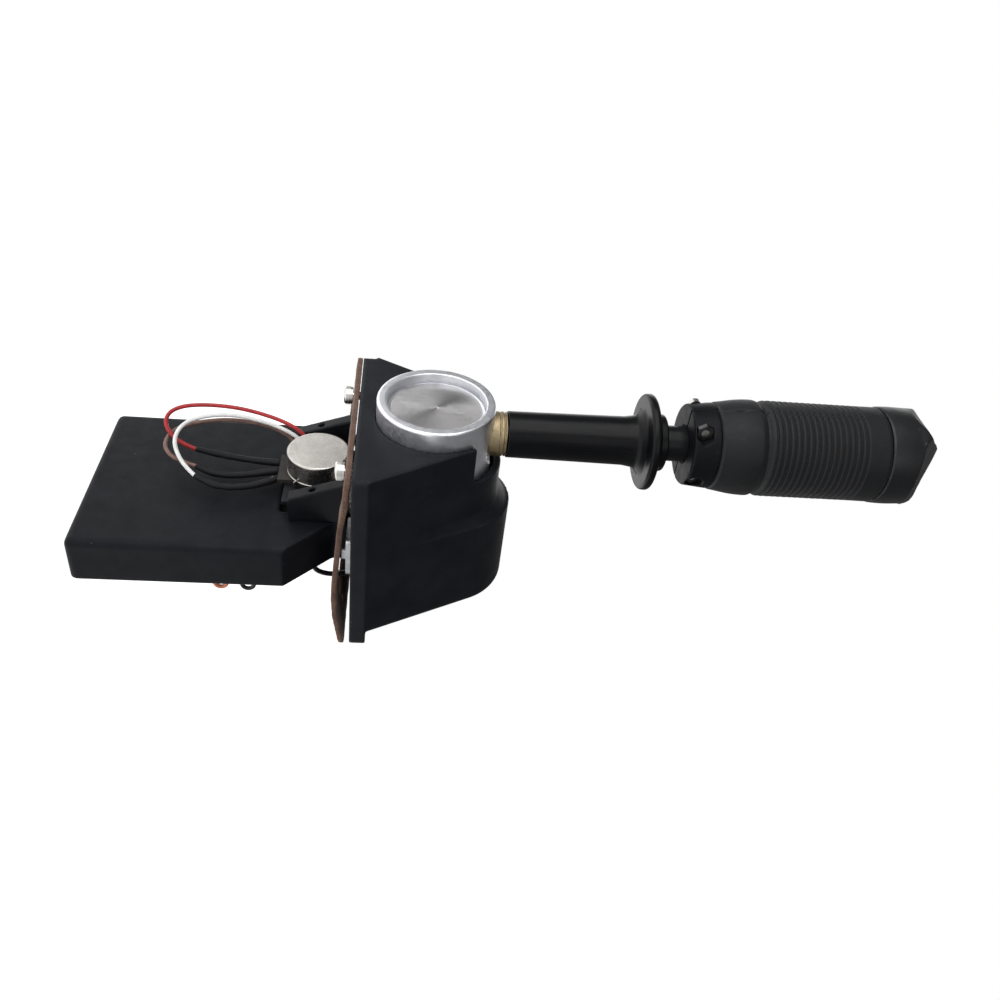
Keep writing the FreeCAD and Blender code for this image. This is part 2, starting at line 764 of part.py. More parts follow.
def make_jumpers():
    """Short coloured loops that stand out of the potting, near the -Y edge."""
    face = ROWS["box_top_x"] + ROWS["box_thick"] - 1.0
    for node, y, centre, half, drop in (
        ("jumper_orange", -37.2, -48.2, 2.2, 3.2),
        ("jumper_grey", -35.2, -43.0, 1.8, 3.0),
        ("jumper_black", -37.2, -38.2, 2.2, 3.6),
        ("jumper_blue", -35.2, -33.8, 1.8, 2.4),
    ):
        foot_1 = FreeCAD.Vector(face, y, centre - half)
        knee_1 = FreeCAD.Vector(face + drop, y, centre - half)
        crown = FreeCAD.Vector(face + drop + half, y, centre)
        knee_2 = FreeCAD.Vector(face + drop, y, centre + half)
        foot_2 = FreeCAD.Vector(face, y, centre + half)
        path = Part.Wire(
            [
                Part.LineSegment(foot_1, knee_1).toShape(),
                Part.Arc(knee_1, crown, knee_2).toShape(),
                Part.LineSegment(knee_2, foot_2).toShape(),
            ]
        )
        piece(swept(node, path, dim("lead_radius")), node)


SHRINKS = {
    "heat_shrink_red": (
        (-11.55, 5, -30.1), (-11.6, 5.3, -36.5), (-11.5, 6.4, -43.8),
        (-11.7, 7.6, -51.2), (-12.6, 8.1, -57.6), (-14.5, 7.5, -63.2),
    ),
    "heat_shrink_brown": (
        (-11.55, 0, -30.1), (-11.6, -1.9, -36.4), (-11.5, -4.0, -43.2),
        (-11.7, -4.9, -50.2), (-12.1, -4.0, -56.6), (-13.0, -1.6, -61.4),
    ),
    "heat_shrink_white": (
        (-11.55, -5, -30.1), (-11.6, -8.6, -35.4), (-11.5, -11.2, -41.6),
        (-11.7, -12.3, -48.4), (-12.1, -11.2, -55.2), (-13.0, -7.6, -60.8),
    ),
}
LEADS = {
    "lead_red": ((-14.5, 7.5, -63.2), (-16.6, 7.7, -68.0), (-19.4, 9.4, -72.4), (-23.0, 12.0, -74.8),
                 (-26.2, 14.8, -73.6), (-28.0, 16.8, -68.8), (-28.4, 18.0, -61.6), (-27.8, 18.9, -53.6),
                 (-26.6, 19.3, -45.8), (-24.6, 19.2, -37.8), (-22.4, 18.4, -30.4), (-19.9, 16.9, -24.4),
                 (-16.8, 15.6, -20.9), (-13.3, 15.2, -19.8)),
    "lead_white": ((-13.0, -7.6, -60.8), (-14.6, -4.6, -64.6), (-17.2, -1.1, -67.8), (-20.4, 2.7, -69.8),
                   (-23.2, 6.6, -69.2), (-25.2, 10.4, -66.2), (-26.0, 13.2, -60.8), (-26.0, 15.3, -54.4),
                   (-25.1, 16.6, -47.0), (-23.2, 16.8, -39.2), (-21.2, 16.4, -32.4), (-18.7, 15.7, -27.0),
                   (-16.2, 15.3, -23.7), (-13.3, 15.2, -22.2)),
    "lead_brown": ((-13.0, -1.6, -61.4), (-13.8, -0.4, -66.6), (-14.8, 1.6, -71.2), (-16.2, 5.4, -74.4),
                   (-18.0, 10.0, -74.0), (-19.8, 13.4, -70.6), (-21.2, 15.2, -65.4), (-22.2, 16.0, -59.4),
                   (-22.7, 16.9, -53.0), (-22.0, 17.8, -46.0), (-20.6, 17.9, -38.0), (-18.8, 17.2, -31.6), (-16.4, 16.0, -27.2),
                   (-13.3, 15.2, -24.8)),
    "lead_switch": ((11.8, -27.0, -15.2), (15.4, -26.2, -14.6), (19.2, -24.2, -12.0), (22.0, -22.0, -7.6),
                    (22.8, -19.6, -1.6), (21.6, -16.8, 4.0), (18.8, -13.4, 7.2), (15.4, -9.9, 8.3)),
}


def make_leads():
    for node, points in SHRINKS.items():
        lead(node, points, dim("shrink_radius"))
    for node in ("lead_red", "lead_white", "lead_brown"):
        lead(node, LEADS[node], dim("lead_radius"))
    lead("lead_switch", LEADS["lead_switch"], dim("switch_lead_radius"))
    grommet = rounded(
        "lead_grommet",
        box("lead_grommet_block", (-13.3, 13.4, -27.4), (-11.8, 17.0, -18.6)),
        0.6,
        lambda p, e: p.x < -13.2,
    )
    piece(grommet, "lead_grommet")


# ---------------------------------------------------------------- pivot group
def make_hub():
    """Turned aluminium hub: bright ring, recess for the cap disc, and a side hole for the lever."""
    face = dim("hub_face_x")
    blank = rounded(
        "hub_blank",
        cylinder("hub_cylinder", "x", dim("hub_radius"), dim("hub_inner_x") - face, (face, 0, pivot_z)),
        0.8,
        lambda p, e: p.x < ROWS["hub_face_x"] + 0.1 and e.Length > 50,
    )
    recess_depth = dim("hub_recess_floor_x") - face + 1
    recess = cylinder("hub_recess", "x", dim("hub_recess_radius"), recess_depth, (face - 1, 0, pivot_z))
    axle_bore = cylinder("hub_axle_bore", "x", dim("axle_radius") + 0.01, 8, (-27, 0, pivot_z))
    rod_bore = cylinder("hub_rod_bore", "z", dim("rod_radius") + 0.02, 20, (lever_x, 0, 34))
    collar_bore = cylinder("hub_collar_bore", "z", dim("collar_radius") + 0.02, 20, (lever_x, 0, 42))
    relief = cylinder("hub_relief", "z", 10.1, 20, (lever_x + 1.6, 0, 46))
    piece(cut("pivot_hub", blank, recess, axle_bore, rod_bore, collar_bore, relief), "pivot_hub")
    floor = dim("hub_recess_floor_x")
    cap = rounded(
        "hub_cap",
        cylinder("hub_cap_disc", "x", dim("cap_radius"), 1.2, (floor - 1.2, 0, pivot_z)),
        0.3,
        lambda p, e: p.x < ROWS["hub_recess_floor_x"] - 1.1,
    )
    piece(cap, "hub_cap")
    axle = cylinder("axle", "x", dim("axle_radius"), 53.4, (-27, 0, pivot_z))
    groove = cut(
        "axle_groove",
        cylinder("axle_groove_outer", "x", 6, 1.0, (25.0, 0, pivot_z)),
        cylinder("axle_groove_inner", "x", 4.2, 3, (24, 0, pivot_z)),
    )
    piece(cut("pivot_axle", axle, groove), "pivot_axle")
    clip = cut(
        "retaining_clip",
        cylinder("clip_disc", "x", 7.2, 0.8, (25.1, 0, pivot_z)),
        cylinder("clip_hole", "x", 4.25, 3, (24, 0, pivot_z)),
        box("clip_gap", (24, -2.6, pivot_z - 10), (27, 2.6, pivot_z)),
    )
    piece(clip, "retaining_clip")
    for node, start, flange_start in (("bush_hub_side", -18, -18.8), ("bush_end_side", 19, 18.2)):
        body = fuse(
            f"{node}_body",
            cylinder(f"{node}_tube", "x", 6.98, 5, (start, 0, pivot_z)),
            cylinder(f"{node}_flange", "x", 9, 0.8, (flange_start, 0, pivot_z)),
        )
        bore_radius = dim("axle_radius") + dim("run_gap")
        bore = cylinder(f"{node}_bore", "x", bore_radius, 10, (start - 3, 0, pivot_z))
        piece(cut(node, body, bore), node)
    cam = cut(
        "switch_cam",
        cylinder("cam_disc", "x", 10, 4, (12.5, 0, pivot_z)),
        cylinder("cam_bore", "x", dim("axle_radius") + 0.01, 8, (11, 0, pivot_z)),
        cylinder("cam_notch", "x", 1.6, 8, (11, 0, pivot_z - 10.6)),
    )
    dog = cylinder("cam_dog", "x", 1.3, 9.6, (3.2, 0, pivot_z + 8.2))
    piece(fuse("switch_cam_dog", cam, dog), "switch_cam")
    anchor = cylinder("spring_anchor", "x", 1.5, 17.5, (3.5, 0, pivot_z + 13))
    piece(anchor, "spring_anchor")
    spring = coil("centring_spring", "x", 6.0, 0.7, 1.7, 6.8, (-1.6, 0, pivot_z))
    piece(spring, "centring_spring")


def make_switch():
    body = box("switch_body", (12.6, -9.9, 4.4), (18.95, 9.9, 16.6))
    holes = [
        cylinder(f"switch_screw_hole_{i}", "x", 1.15, 10, (10, y, 11)) for i, y in enumerate((-4.75, 4.75))
    ]
    bore = cylinder("switch_button_bore", "z", 1.25, 4, (14.5, 0, 14.2))
    piece(cut("limit_switch", body, *holes, bore), "limit_switch")
    screws = []
    for i, y in enumerate((-4.75, 4.75)):
        head = cylinder(f"switch_screw_head_{i}", "x", 2.1, 1.3, (11.3, y, 11))
        shank = cylinder(f"switch_screw_shank_{i}", "x", 0.8, 8.6, (12.5, y, 11))
        screws.append(fuse(f"switch_screw_{i}", head, shank))
    piece(group("switch_screw_pair", *screws), "switch_screws")
    button = cylinder("switch_button", "z", 1.15, 3.6, (14.5, 0, 15.3))
    piece(button, "switch_button")


# ---------------------------------------------------------------- lever
def lever_turned(name, corners):
    return turned(name, "z", corners, (lever_x, 0, 0))


def make_lever():
    rod = cylinder("lever_rod", "z", dim("rod_radius"), 160, (lever_x, 0, 34))
    piece(rod, "lever_rod")
    radius = dim("collar_radius")
    top = dim("collar_top_z")
    collar = lever_turned(
        "brass_collar",
        [
            (dim("rod_radius") + 0.02, 42.05),
            (radius, 42.05),
            (radius, top - 1.5),
            (radius - 0.4, top - 1.3),
            (radius - 0.4, top - 0.9),
            (radius, top - 0.7),
            (radius, top - 0.2),
            (radius - 0.2, top),
            (dim("rod_radius") + 0.02, top),
        ],
    )
    piece(collar, "brass_collar")
    neck = lever_turned(
        "neck_bush",
        [
            (dim("rod_radius") + 0.02, 100),
            (6.9, 100),
            (6.9, 119),
            (dim("neck_radius"), 120),
            (dim("neck_radius"), 127.5),
            (dim("rod_radius") + 0.02, 127.5),
        ],
    )
    piece(neck, "neck_bush")


def make_lift_sleeve():
    """Moulded sleeve with the finger disc that is lifted to free the lever."""
    low = dim("sleeve_bottom_z")
    r_low = dim("sleeve_bottom_radius")
    r_top = dim("sleeve_top_radius")
    disc = dim("disc_radius")
    top = dim("disc_top_z")
    under = top - dim("disc_thick")
    ring = dim("ring_radius")
    body = lever_turned(
        "lift_sleeve",
        [
            (5.1, low),
            (r_low - 0.3, low),
            (r_low, low + 0.3),
            (r_top, 104),
            (r_top + 0.5, under - 2.6),
            (r_top + 1.6, under - 0.9),
            (r_top + 3.4, under),
            (disc - 1.0, under + 0.1),
            (disc - 0.25, under + 0.6),
            (disc, under + 1.5),
            (disc, top - 1.5),
            (disc - 0.25, top - 0.6),
            (disc - 1.0, top - 0.1),
            (ring + 1.4, top),
            (ring + 0.3, top + 0.6),
            (ring, top + 1.6),
            (ring, dim("ring_top_z") - 0.9),
            (ring - 0.9, dim("ring_top_z")),
            (7.35, dim("ring_top_z")),
            (7.35, 60.5),
            (5.1, 60.5),
        ],
    )
    piece(body, "lift_sleeve")
    spring = coil("lift_spring", "z", 6.15, 0.5, 4.2, 37.8, (lever_x, 0, 61.2))
    piece(spring, "lift_spring")


def make_grip():
    seam = dim("seam_z")
    low = dim("grip_bottom_z")
    rubber = dim("rubber_bottom_z")
    core = lever_turned(
        "grip_core",
        [
            (dim("rod_radius") + 0.02, 128),
            (7.6, 128),
            (7.6, low),
            (15.4, low),
            (16.0, low + 0.6),
            (17.0, rubber - 0.3),
            (15.2, rubber - 0.3),
            (15.2, seam - 0.4),
            (13.0, seam - 0.4),
            (13.0, 196),
            (dim("rod_radius") + 0.02, 196),
        ],
    )
    screw_spots = ((-12.2, 131.0), (8.4, 130.6))
    tools = []
    for i, (dx, z) in enumerate(screw_spots):
        x = lever_x + dx
        tools.append(cylinder(f"clamp_hole_{i}", "y", 1.6, 40, (x, -20, z)))
        pocket = doc.addObject("Part::Prism", f"clamp_pocket_{i}")
        pocket.Polygon = 6
        bind(pocket, "Circumradius", 3.5)
        bind(pocket, "Height", 20)
        place(pocket, (x, -28, z), TURNS["y"])
        tools.append(pocket)
        tools.append(cylinder(f"clamp_seat_{i}", "y", 3.1, 20, (x, 8, z)))
    hollowed = cut("grip_core_cut", core, *tools)
    halves = (("near", -30, -0.1), ("far", 0.1, 30))
    for label, y_low, y_high in halves:
        room = box(f"grip_{label}_room", (-70, y_low, 120), (0, y_high, 210))
        piece(common(f"grip_half_{label}", hollowed, room), f"grip_half_{label}")
    nuts = []
    for i, (dx, z) in enumerate(screw_spots):
        x = lever_x + dx
        bolt = fuse(
            f"clamp_bolt_{i}",
            cylinder(f"clamp_shank_{i}", "y", 1.5, 20, (x, -11, z)),
            cylinder(f"clamp_head_{i}", "y", 2.9, 2.2, (x, 8, z)),
        )
        piece(bolt, f"clamp_screw_{i + 1}")
        nut = doc.addObject("Part::Prism", f"clamp_nut_{i}_blank")
        nut.Polygon = 6
        bind(nut, "Circumradius", 3.3)
        bind(nut, "Height", 2.2)
        place(nut, (x, -10.3, z), TURNS["y"])
        hole = cylinder(f"clamp_nut_{i}_hole", "y", 1.52, 6, (x, -12, z))
        nuts.append(cut(f"clamp_nut_{i}", nut, hole))
    piece(group("clamp_nut_pair", *nuts), "clamp_nuts")


def make_rubber():
    """Ribbed rubber sleeve over the grip core."""
    r = dim("grip_radius")
    waist = dim("waist_z")
    bottom = dim("rubber_bottom_z")
    first = dim("rib_start_z")
    pitch = dim("rib_pitch")
    depth = dim("rib_depth")
    outline = [
        (15.22, bottom),
        (17.2, bottom),
        (17.7, bottom + 3),
        (18.6, bottom + 8.5),
        (r, bottom + 13),
        (r - 0.1, waist - 1.8),
        (r - 1.5, waist - 0.4),
        (r - 1.5, waist + 0.4),
        (r - 0.1, waist + 1.6),
    ]
    for i in range(ROWS["rib_count"]):
        base = first + pitch * i
        outline += [(r, base), (r - depth, base + 0.25), (r - depth, base + 0.85), (r, base + 1.1)]
    seam = dim("seam_z")
    outline += [(r, seam - 1.0), (r - 0.5, seam - 0.3), (15.22, seam - 0.3)]
    piece(lever_turned("grip_rubber", outline), "grip_rubber")


def boot_block(name, inset, low_z):
    """Thumb-rocker shape: a round post under a roof whose ridge runs across the thumb's travel."""
    seam = dim("seam_z")
    tip = dim("tip_z")
    post = cylinder(f"{name}_post", "z", dim("boot_radius") - inset, 40, (lever_x, 0, low_z))
    side = [
        (lever_x - 20, low_z),
        (lever_x - 20, seam + 10.0 - inset),
        (lever_x - 17.6, seam + 14.8 - inset),
        (lever_x - 12.8, seam + 19.2 - inset),
        (lever_x - 5.6, tip - 0.4 - inset),
        (lever_x - 3.8, tip - inset),
        (lever_x + 9.2, tip - 2.6 - inset),
        (lever_x + 17.2 - inset, tip - 3.0 - inset),
        (lever_x + 19.0 - inset, tip - 5.6 - inset),
        (lever_x + 20, seam + 5),
        (lever_x + 20, low_z),
    ]
    profile = prism(f"{name}_side", "xz", side, -25, 50)
    roof = [
        (-20, low_z),
        (-20, seam + 11.0 - inset),
        (-12.5, seam + 13.4 - inset),
        (-2.2, tip - 1.0 - inset),
        (0, tip + 0.6 - inset),
        (2.2, tip - 1.0 - inset),
        (12.5, seam + 13.4 - inset),
        (20, seam + 11.0 - inset),
        (20, low_z),
    ]
    gable = prism(f"{name}_gable", "yz", roof, -60, 60)
    return common(name, post, profile, gable)


def make_rocker():
    seam = dim("seam_z")
    outer = boot_block("boot_outer", 0, seam - 0.25)
    inner = boot_block("boot_inner", 1.6, seam - 4)
    piece(cut("rocker_boot", outer, inner), "rocker_boot")
    body = boot_block("rocker_body", 2.1, seam + 6.2)
    keel = cylinder("rocker_keel", "x", 4.0, 20, (lever_x - 10, 0, seam + 3.0))
    cheeks = box("rocker_cheeks", (lever_x - 10, -4, seam + 3.0), (lever_x + 10, 4, seam + 8))
    under = prism(
        "rocker_under",
        "yz",
        [
            (-20, seam + 6),
            (-20, seam + 9.6),
            (-4.2, seam + 6.4),
            (4.2, seam + 6.4),
            (20, seam + 9.6),
            (20, seam + 6),
        ],
        -60,
        60,
    )
    pin_hole = cylinder("rocker_pin_hole", "x", 1.56, 30, (lever_x - 15, 0, seam + 3.0))
    wings = cut("rocker_wings", body, under)
    solid = cut("rocker_solid", fuse("rocker_fused", wings, cheeks, keel), pin_hole)
    piece(solid, "rocker_paddle")
    pin = cylinder("rocker_pin", "x", 1.5, 27, (lever_x - 13.5, 0, seam + 3.0))
    piece(pin, "rocker_pin")
    # switch module inside the grip top, with two lugs that hold the pin
    module = cylinder("module_body", "z", 12.8, 7.6, (lever_x, 0, 196.2))
    lugs = []
    for i, dx in enumerate((-12.4, 10.3)):
        lugs.append(box(f"module_lug_{i}", (lever_x + dx, -2.6, 203), (lever_x + dx + 2.1, 2.6, seam + 5.3)))
    bore = cylinder("module_pin_bore", "x", 1.5, 40, (lever_x - 20, 0, seam + 3.0))
    clear = cylinder("module_keel_room", "x", 4.4, 20.6, (lever_x - 10.3, 0, seam + 3.0))
    limit = cylinder("module_limit", "z", 17.2, 30, (lever_x, 0, 190))
    blank = common("module_blank", fuse("module_fused", module, *lugs), limit)
    piece(cut("switch_module", blank, bore, clear), "switch_module")


make_housing()
make_gasket()
make_panel_screws()
make_strap()
make_pot_bracket()
make_pot()
make_gears()
make_box()
make_jumpers()
make_leads()
make_hub()
make_switch()
make_lever()
make_lift_sleeve()
make_grip()
make_rubber()
make_rocker()
doc.recompute()

# ---------------------------------------------------------------- export
os.makedirs("parts", exist_ok=True)
for item, node in pieces:
    if "Invalid" in item.State or "Error" in item.State:
        raise RuntimeError(f"{node}: {item.State}")
    if item.Shape.isNull() or not item.Shape.isValid():
        raise RuntimeError(f"{node}: shape is not valid")
    solids = len(item.Shape.Solids)
    if solids != 1:
        print(f"note {node}: {solids} solids")
    item.Shape.exportStep(f"parts/{node}.step")
print(f"{len(pieces)} nodes written")
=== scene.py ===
"""Panel joystick: the looks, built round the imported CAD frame.

Metres, with +Z up along the lever and the pivot along X. Outlines and routes are in millimetres.
"""

import json
import math

import bmesh
import bpy
from mathutils import Matrix, Vector, noise

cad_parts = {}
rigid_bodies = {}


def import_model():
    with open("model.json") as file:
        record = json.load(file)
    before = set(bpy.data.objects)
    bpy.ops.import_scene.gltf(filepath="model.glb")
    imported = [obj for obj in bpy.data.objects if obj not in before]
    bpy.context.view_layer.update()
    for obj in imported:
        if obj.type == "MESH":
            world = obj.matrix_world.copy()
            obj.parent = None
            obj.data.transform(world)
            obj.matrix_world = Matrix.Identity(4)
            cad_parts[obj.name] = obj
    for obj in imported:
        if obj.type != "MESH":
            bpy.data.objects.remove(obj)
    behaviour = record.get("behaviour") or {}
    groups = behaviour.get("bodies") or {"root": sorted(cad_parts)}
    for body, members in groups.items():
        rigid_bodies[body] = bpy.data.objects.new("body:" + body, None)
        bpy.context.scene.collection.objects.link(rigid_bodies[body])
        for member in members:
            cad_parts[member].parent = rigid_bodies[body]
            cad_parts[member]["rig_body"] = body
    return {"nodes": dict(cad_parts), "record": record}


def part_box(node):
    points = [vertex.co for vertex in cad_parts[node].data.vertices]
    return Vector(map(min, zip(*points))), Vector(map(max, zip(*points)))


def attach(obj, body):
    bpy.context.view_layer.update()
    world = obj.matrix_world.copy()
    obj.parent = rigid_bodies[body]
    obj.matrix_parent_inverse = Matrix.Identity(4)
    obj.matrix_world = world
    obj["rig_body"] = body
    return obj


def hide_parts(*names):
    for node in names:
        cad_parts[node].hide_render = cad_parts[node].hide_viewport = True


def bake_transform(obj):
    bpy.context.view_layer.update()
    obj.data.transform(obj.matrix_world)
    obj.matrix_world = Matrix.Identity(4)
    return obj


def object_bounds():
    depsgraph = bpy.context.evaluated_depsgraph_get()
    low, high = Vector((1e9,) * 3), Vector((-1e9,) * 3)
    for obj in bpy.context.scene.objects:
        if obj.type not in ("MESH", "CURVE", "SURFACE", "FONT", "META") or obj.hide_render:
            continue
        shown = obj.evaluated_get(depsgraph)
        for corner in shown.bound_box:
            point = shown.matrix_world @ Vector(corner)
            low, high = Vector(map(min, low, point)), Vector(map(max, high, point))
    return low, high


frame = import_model()
cad_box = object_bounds()

MM = 0.001
NODES = frame["nodes"]
SLOT_OF = {part["node"]: part["material_slot"] for part in frame["record"]["subparts"]}
BODY_OF = {node: obj["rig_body"] for node, obj in NODES.items()}

# ---------------------------------------------------------------- places read from the frame
hub_low, hub_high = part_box("pivot_hub")
sleeve_low, sleeve_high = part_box("lift_sleeve")
rubber_low, rubber_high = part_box("grip_rubber")
boot_low, boot_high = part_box("rocker_boot")
PIVOT_Z = (hub_low.z + hub_high.z) / 2
LEVER_X = (sleeve_low.x + sleeve_high.x) / 2
LEVER = Vector((LEVER_X, 0, 0))
PIVOT = Vector((0, 0, PIVOT_Z))


# ---------------------------------------------------------------- camera, floor, lights
def make_camera():
    right = Vector((-0.10801, -0.05867, 0.99242))
    up = Vector((-0.77895, 0.62526, -0.04782))
    back = Vector((-0.61772, -0.77821, -0.11323))
    place = Vector((-0.243911, -0.304451, 0.013604))
    data = bpy.data.cameras.new("camera")
    data.lens = 34.545
    data.sensor_width = 36.0
    data.clip_start = 0.01
    camera = bpy.data.objects.new("camera", data)
    bpy.context.scene.collection.objects.link(camera)
    turn = Matrix((right, up, back)).transposed().to_4x4()
    camera.matrix_world = Matrix.Translation(place) @ turn
    bpy.context.scene.camera = camera


def make_floor():
    """White floor just under the electronics box, bright enough to show no shadow."""
    half = 1.6
    level = cad_box[0][2] - 0.0006
    mesh = bpy.data.meshes.new("floor")
    corners = [(-half, -half, level), (half, -half, level), (half, half, level), (-half, half, level)]
    mesh.from_pydata(corners, [], [(0, 1, 2, 3)])
    floor = bpy.data.objects.new("floor", mesh)
    bpy.context.scene.collection.objects.link(floor)
    pale = bpy.data.materials.new("floor_pale")
    pale.use_nodes = True
    shader = pale.node_tree.nodes["Principled BSDF"]
    shader.inputs["Base Color"].default_value = (0.86, 0.86, 0.86, 1)
    shader.inputs["Roughness"].default_value = 0.9
    shader.inputs["Specular IOR Level"].default_value = 0.1
    shader.inputs["Emission Color"].default_value = (1, 1, 1, 1)
    shader.inputs["Emission Strength"].default_value = 1.0
    mesh.materials.append(pale)


def area_light(name, place, target, width, height, power):
    data = bpy.data.lights.new(name, "AREA")
    data.shape = "RECTANGLE"
    data.size = width
    data.size_y = height
    data.energy = power
    light = bpy.data.objects.new(name, data)
    bpy.context.scene.collection.objects.link(light)
    place = Vector(place)
    aim = Vector(target) - place
    light.matrix_world = Matrix.Translation(place) @ aim.to_track_quat("-Z", "Y").to_matrix().to_4x4()


def make_light():
    middle = (LEVER_X, 0, 0.06)
    area_light("key_top", (-0.95, -0.10, 0.10), middle, 1.1, 0.7, 7.0)
    area_light("window_near", (-0.45, -0.85, 0.45), middle, 0.6, 0.6, 1.3)
    area_light("window_left", (-0.25, -0.45, -0.75), middle, 0.6, 0.6, 1.6)
    area_light("back_soft", (0.20, 0.80, 0.50), middle, 0.8, 0.8, 3.0)
    world = bpy.data.worlds.new("studio")
    world.use_nodes = True
    sheet = world.node_tree
    ground = sheet.nodes["Background"]
    ground.inputs["Color"].default_value = (1, 1, 1, 1)
    path = sheet.nodes.new("ShaderNodeLightPath")
    level = sheet.nodes.new("ShaderNodeMapRange")
    level.inputs["To Min"].default_value = 0.16
    level.inputs["To Max"].default_value = 1.0
    sheet.links.new(path.outputs["Is Camera Ray"], level.inputs["Value"])
    sheet.links.new(level.outputs["Result"], ground.inputs["Strength"])
    bpy.context.scene.world = world
    bpy.context.scene.view_settings.view_transform = "Standard"


# ---------------------------------------------------------------- finishes
class Finish:
    """A node material whose textures follow the object, with sizes in millimetres."""

    def __init__(self, name, metallic=0.0, specular=0.5, sheen=0.0):
        self.material = bpy.data.materials.new(name)
        self.material.use_nodes = True
        self.tree = self.material.node_tree
        self.shader = self.tree.nodes["Principled BSDF"]
        self.shader.inputs["Metallic"].default_value = metallic
        self.shader.inputs["Specular IOR Level"].default_value = specular
        self.shader.inputs["Sheen Weight"].default_value = sheen
        self.place = self.tree.nodes.new("ShaderNodeTexCoord").outputs["Object"]
        self.normal = None

    def link(self, source, target):
        self.tree.links.new(source, target)

    def stretched(self, stretch):
        mapping = self.tree.nodes.new("ShaderNodeMapping")
        mapping.inputs["Scale"].default_value = stretch
        self.link(self.place, mapping.inputs["Vector"])
        return mapping.outputs["Vector"]

    def noise(self, size, detail=4.0, rough=0.6, stretch=None, vector=None):
        """Soft noise with features about size millimetres across, from 0 to 1."""
        node = self.tree.nodes.new("ShaderNodeTexNoise")
        node.inputs["Scale"].default_value = 1 / (size * MM)
        node.inputs["Detail"].default_value = detail
        node.inputs["Roughness"].default_value = rough
        source = vector or (self.stretched(stretch) if stretch else self.place)
        self.link(source, node.inputs["Vector"])
        return node.outputs["Fac"]

    def cells(self, size):
        """Distance to the nearest of points scattered about size millimetres apart."""
        node = self.tree.nodes.new("ShaderNodeTexVoronoi")
        node.inputs["Scale"].default_value = 1 / (size * MM)
        self.link(self.place, node.inputs["Vector"])
        return node.outputs["Distance"]

    def reach(self, axis, centre):
        """Distance from an axis through centre, in metres, as a vector whose X is that distance."""
        centre_node = self.tree.nodes.new("ShaderNodeVectorMath")
        centre_node.operation = "SUBTRACT"
        centre_node.inputs[1].default_value = centre
        self.link(self.place, centre_node.inputs[0])
        flat = self.tree.nodes.new("ShaderNodeVectorMath")
        flat.operation = "MULTIPLY"
        flat.inputs[1].default_value = [0.0 if letter == axis else 1.0 for letter in "xyz"]
        self.link(centre_node.outputs[0], flat.inputs[0])
        length = self.tree.nodes.new("ShaderNodeVectorMath")
        length.operation = "LENGTH"
        self.link(flat.outputs[0], length.inputs[0])
        bundle = self.tree.nodes.new("ShaderNodeCombineXYZ")
        self.link(length.outputs["Value"], bundle.inputs["X"])
        return bundle.outputs["Vector"]

    def edges(self):
        """1 on convex edges, 0 on flats."""
        flat, convex = 0.52, 0.6
        geometry = self.tree.nodes.new("ShaderNodeNewGeometry")
        return self.fit(geometry.outputs["Pointiness"], flat, convex, 0.0, 1.0)

    def fit(self, value, low, high, new_low, new_high):
        node = self.tree.nodes.new("ShaderNodeMapRange")
        for key, number in zip(("From Min", "From Max", "To Min", "To Max"), (low, high, new_low, new_high)):
            node.inputs[key].default_value = number
        self.link(value, node.inputs["Value"])
        return node.outputs["Result"]

    def times(self, a, b):
        node = self.tree.nodes.new("ShaderNodeMath")
        node.operation = "MULTIPLY"
        self.link(a, node.inputs[0])
        self.link(b, node.inputs[1])
        return node.outputs["Value"]

    def blend(self, factor, a, b):
        """Colour between a and b; each is three numbers or another node's colour."""
        node = self.tree.nodes.new("ShaderNodeMix")
        node.data_type = "RGBA"
        self.link(factor, node.inputs["Factor"])
        for socket, value in ((node.inputs[6], a), (node.inputs[7], b)):
            if isinstance(value, tuple):
                socket.default_value = (*value, 1)
            else:
                self.link(value, socket)
        return node.outputs[2]

    def colour(self, source):
        self.link(source, self.shader.inputs["Base Color"])

    def rough(self, source, low, high):
        """Roughness between low and high, over the middle of the noise's range."""
        self.link(self.fit(source, 0.3, 0.7, low, high), self.shader.inputs["Roughness"])

    def bump(self, height, depth, strength=1.0):
        """Adds relief of the given depth in millimetres over what is there already."""
        node = self.tree.nodes.new("ShaderNodeBump")
        node.inputs["Strength"].default_value = strength
        node.inputs["Distance"].default_value = depth * MM
        self.link(height, node.inputs["Height"])
        if self.normal:
            self.link(self.normal, node.inputs["Normal"])
        self.normal = node.outputs["Normal"]
        self.link(self.normal, self.shader.inputs["Normal"])

    def tangent(self, axis, amount):
        """Stretches the highlight round an axis, as turning marks do."""
        node = self.tree.nodes.new("ShaderNodeTangent")
        node.direction_type = "RADIAL"
        node.axis = axis
        self.link(node.outputs["Tangent"], self.shader.inputs["Tangent"])
        self.shader.inputs["Anisotropic"].default_value = amount


